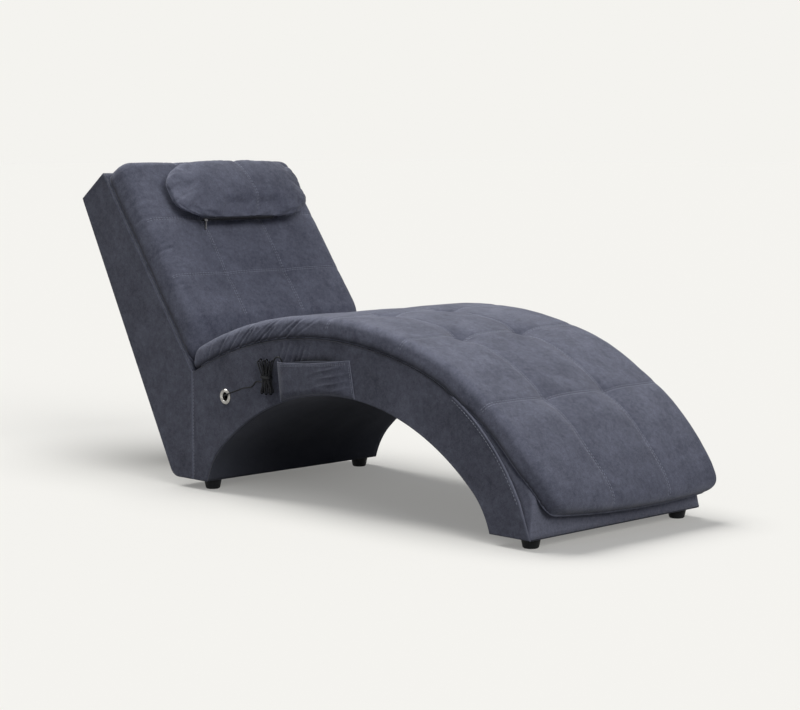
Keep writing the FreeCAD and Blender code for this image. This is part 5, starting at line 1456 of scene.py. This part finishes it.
# Side pocket
POCKET_DEPTH, POCKET_WIDTH, POCKET_HEIGHT = 17.7, 229.0, 78.0
HEM_RADIUS = ARCH_RADIUS + 2.0


def pocket_point(u, v):
    """A place on the side, by its shares of the way along the pocket and up it."""
    x = -29.0 + POCKET_WIDTH * u
    base = np.array((x, ARCH[1] + math.sqrt(HEM_RADIUS ** 2 - (x - ARCH[0]) ** 2)))
    return base + (rim_point(u) - base) * v


def pocket_out(u, v):
    """How far the pocket's cloth stands off the side."""
    left = math.sin(math.pi / 2 * min(1.0, u * POCKET_WIDTH / 34.0)) ** 0.75
    right = math.sin(math.pi / 2 * min(1.0, (1 - u) * POCKET_WIDTH / 46.0)) ** 0.9
    ends = min(left, right)
    rim = smooth_step((v - 0.55) / 0.45)
    base = math.sqrt(max(0.0, 1 - (1 - min(1.0, v * POCKET_HEIGHT / 16.0)) ** 2))
    out = (POCKET_DEPTH + 1.2 * math.sin(math.pi * u) * v) * ends * (base * (1 - rim) + rim)
    x, z = pocket_point(u, v)
    slant = z - 262 - 0.25 * (x - 150)
    fold = ridged(slant / 5.0 + 0.7 * wave((x, 0, z), 45.0, 5.0), 2.2)
    zone = smooth_step((u - 0.4) / 0.3) * smooth_step((0.995 - u) / 0.06) * smooth_step(v / 0.15) \
        * smooth_step((0.94 - v) / 0.12)
    fade = 0.35 + 0.65 * smooth_step((u - 0.5) / 0.4)
    low = smooth_step((0.42 - u) / 0.2) * smooth_step((0.8 - v) / 0.3) * smooth_step(u / 0.06)
    sag = ridged((x + 29) / 8.5 + (z - 240) / 11.0, 2.4)
    out += 2.3 * zone * fade * fold + 1.2 * low * sag * ends
    out += 0.35 * ends * wave((x, 0, z), 40.0, 31.0)
    return max(0.4, out)


def on_pocket(u, v, lift):
    """A point lifted off the pocket's outer face."""
    return solid(pocket_point(u, v), -HALF - pocket_out(u, v) - lift)


def make_pocket():
    rows, columns = 34, 84
    outer, inner, wear_and_shade = [], [], []
    for r in range(rows):
        v = r / (rows - 1)
        for c in range(columns):
            u = 0.5 - 0.5 * math.cos(math.pi * c / (columns - 1))
            place, out = pocket_point(u, v), pocket_out(u, v)
            outer.append(solid(place, -HALF - out))
            inner.append(solid(place, -HALF - max(0.1, out - 1.8)))
            wear_and_shade.append(0.3 * bump_at((1 - v) * POCKET_HEIGHT, 3.0) + 0.1 * ridged(out, 1.0) * v)
    count = rows * columns
    faces = [tuple(reversed(f)) for f in grid_faces(rows, columns)] + grid_faces(rows, columns, count)
    pocket = make_piece("hand_control_pocket", outer + inner, faces + rim_faces(rows, columns),
                        SHADED_SIDE_SUEDE, wear_and_shade + [0.0] * count)
    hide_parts("side_pocket")
    rim = [on_pocket(0.004 + 0.992 * c / 89, 1.0, -0.9) for c in range(90)]
    hem = tube_piece("pocket_hem", rim, 1.1, SHADED_SIDE_SUEDE, 0.5)
    points, faces = [], []
    for u in (0.004, 0.996):
        run = [solid(pocket_point(u, v), -HALF - 1.2) for v in np.linspace(0.0, 1.0, 40)]
        made, fresh = tube_mesh(run, 1.3, 8, len(points))
        points += made
        faces += fresh
    welt = make_piece("pocket_side_welts", points, faces, SHADED_SIDE_SUEDE, [0.8] * len(points))
    lines = [[on_pocket(u, 1 - gap, 0.15) for u in np.linspace(0.03, 0.97, 80)] for gap in (0.05, 0.085)]
    lines += [[on_pocket(u, v, 0.15) for v in np.linspace(0.03, 0.97, 30)] for u in (0.016, 0.984)]
    thread = stitched("pocket_stitching", lines, pitch=5.0, radius=0.36)
    # A dark sheet of lining cloth just above the rim, standing in as painted shade in the pocket's mouth
    shade = []
    for u in np.linspace(0.17, 0.83, 40):
        x, z = pocket_point(float(u), 1.0)
        tall = 5.0 * math.sin(math.pi * (u - 0.17) / 0.66) ** 0.8
        shade += [(x, -HALF - 1.6, z - 4.0), (x, -HALF - 1.3, z + tall), (x, -HALF - 0.1, z + tall + 0.3),
                  (x, -HALF - 0.1, z - 4.0)]
    mouth = make_piece("pocket_mouth_shade_sheet", shade, ring_faces(4, 40), LINING)
    assign("frame", "suede", pocket, hem, welt, thread, mouth)


make_pocket()


# Floor, background and light
BACKDROP = (0.905, 0.896, 0.863)
FLOOR_COLOUR = (0.8734, 0.8588, 0.8104)
# REAR_SHADE, SHADE_CENTRE and SHADE_REACH: how dark, where and how wide the shadow painted on the floor behind
# the back is
WORLD_LIGHT, REAR_SHADE, FLOOR_REACH = 0.12, 0.3, 60.0
SHADE_CENTRE, SHADE_REACH = (-0.65, 0.0, 0.0), (0.68, 0.56, 1.0)


def seen_ray(tree):
    """1 for a ray from the camera, or one that metal or glass sends on."""
    rays = tree.nodes.new("ShaderNodeLightPath").outputs
    fact = rays["Is Camera Ray"]
    for name in ("Is Glossy Ray", "Is Transmission Ray"):
        fact = add_node(tree, "ShaderNodeMath", {0: fact, 1: rays[name]}, operation="MAXIMUM").outputs[0]
    return fact


def rear_shade(s):
    """How far a place on the floor lies in the soft shadow painted into its colour behind the back."""
    place = s.node("ShaderNodeNewGeometry").outputs["Position"]
    moved = s.node("ShaderNodeMapping", vector_type="TEXTURE")
    moved.inputs["Location"].default_value = SHADE_CENTRE
    moved.inputs["Scale"].default_value = SHADE_REACH
    s.tree.links.new(place, moved.inputs["Vector"])
    return s.node("ShaderNodeTexGradient", {"Vector": moved.outputs["Vector"]},
                  gradient_type="QUADRATIC_SPHERE").outputs["Fac"]


def floor_material():
    """A pale floor that is as light as the backdrop where nothing shades it, with little bounce and a shadow
    painted behind the back.
    """
    s = Shader("pale_floor", 1.0, specular=0.0)
    seen = seen_ray(s.tree)
    floor, glow = [s.mix(rear_shade(s), full, tuple(part * REAR_SHADE for part in full))
                   for full in (FLOOR_COLOUR, BACKDROP)]
    s.colour(s.mix(seen, (0.2, 0.2, 0.2), floor))
    light = s.node("ShaderNodeEmission", {"Color": glow, "Strength": 1.0})
    mixed = s.node("ShaderNodeMixShader", {"Fac": s.math("MULTIPLY", seen, 0.27), 1: s.shader.outputs[0],
                                           2: light.outputs[0]})
    s.tree.links.new(mixed.outputs[0], s.tree.nodes["Material Output"].inputs["Surface"])
    return s.material


def make_stage():
    corners = [(x * FLOOR_REACH / MM, y * FLOOR_REACH / MM, 0) for x, y in ((-1, -1), (1, -1), (1, 1), (-1, 1))]
    floor = make_piece("floor", corners, [(0, 1, 2, 3)], floor_material(), smooth=False)
    world = bpy.data.worlds.new("studio")
    world.use_nodes = True
    SCENE.world = world
    tree = world.node_tree
    tree.nodes.clear()
    plain = add_node(tree, "ShaderNodeBackground", {"Color": (0.88, 0.94, 1.12, 1.0), "Strength": WORLD_LIGHT})
    seen = add_node(tree, "ShaderNodeBackground", {"Color": BACKDROP + (1.0,), "Strength": 1.0})
    mixed = add_node(tree, "ShaderNodeMixShader", {"Fac": seen_ray(tree), 1: plain.outputs[0],
                                                   2: seen.outputs[0]})
    add_node(tree, "ShaderNodeOutputWorld", {"Surface": mixed.outputs[0]})


def sun(name, toward, strength, angle):
    """A distant lamp that shines from a direction, soft by its angle."""
    data = bpy.data.lights.new(name, "SUN")
    data.energy = strength
    data.angle = math.radians(angle)
    obj = link(bpy.data.objects.new(name, data))
    obj.location = Vector(toward).normalized() * 4.0
    obj.rotation_euler = Vector(toward).to_track_quat("Z", "Y").to_euler()


make_stage()
sun("overhead", (-0.6, 0.0, 1.0), 2.75, 40)
sun("front", (1.0, -0.26, 0.62), 1.12, 30)
SCENE.view_settings.view_transform = "Standard"
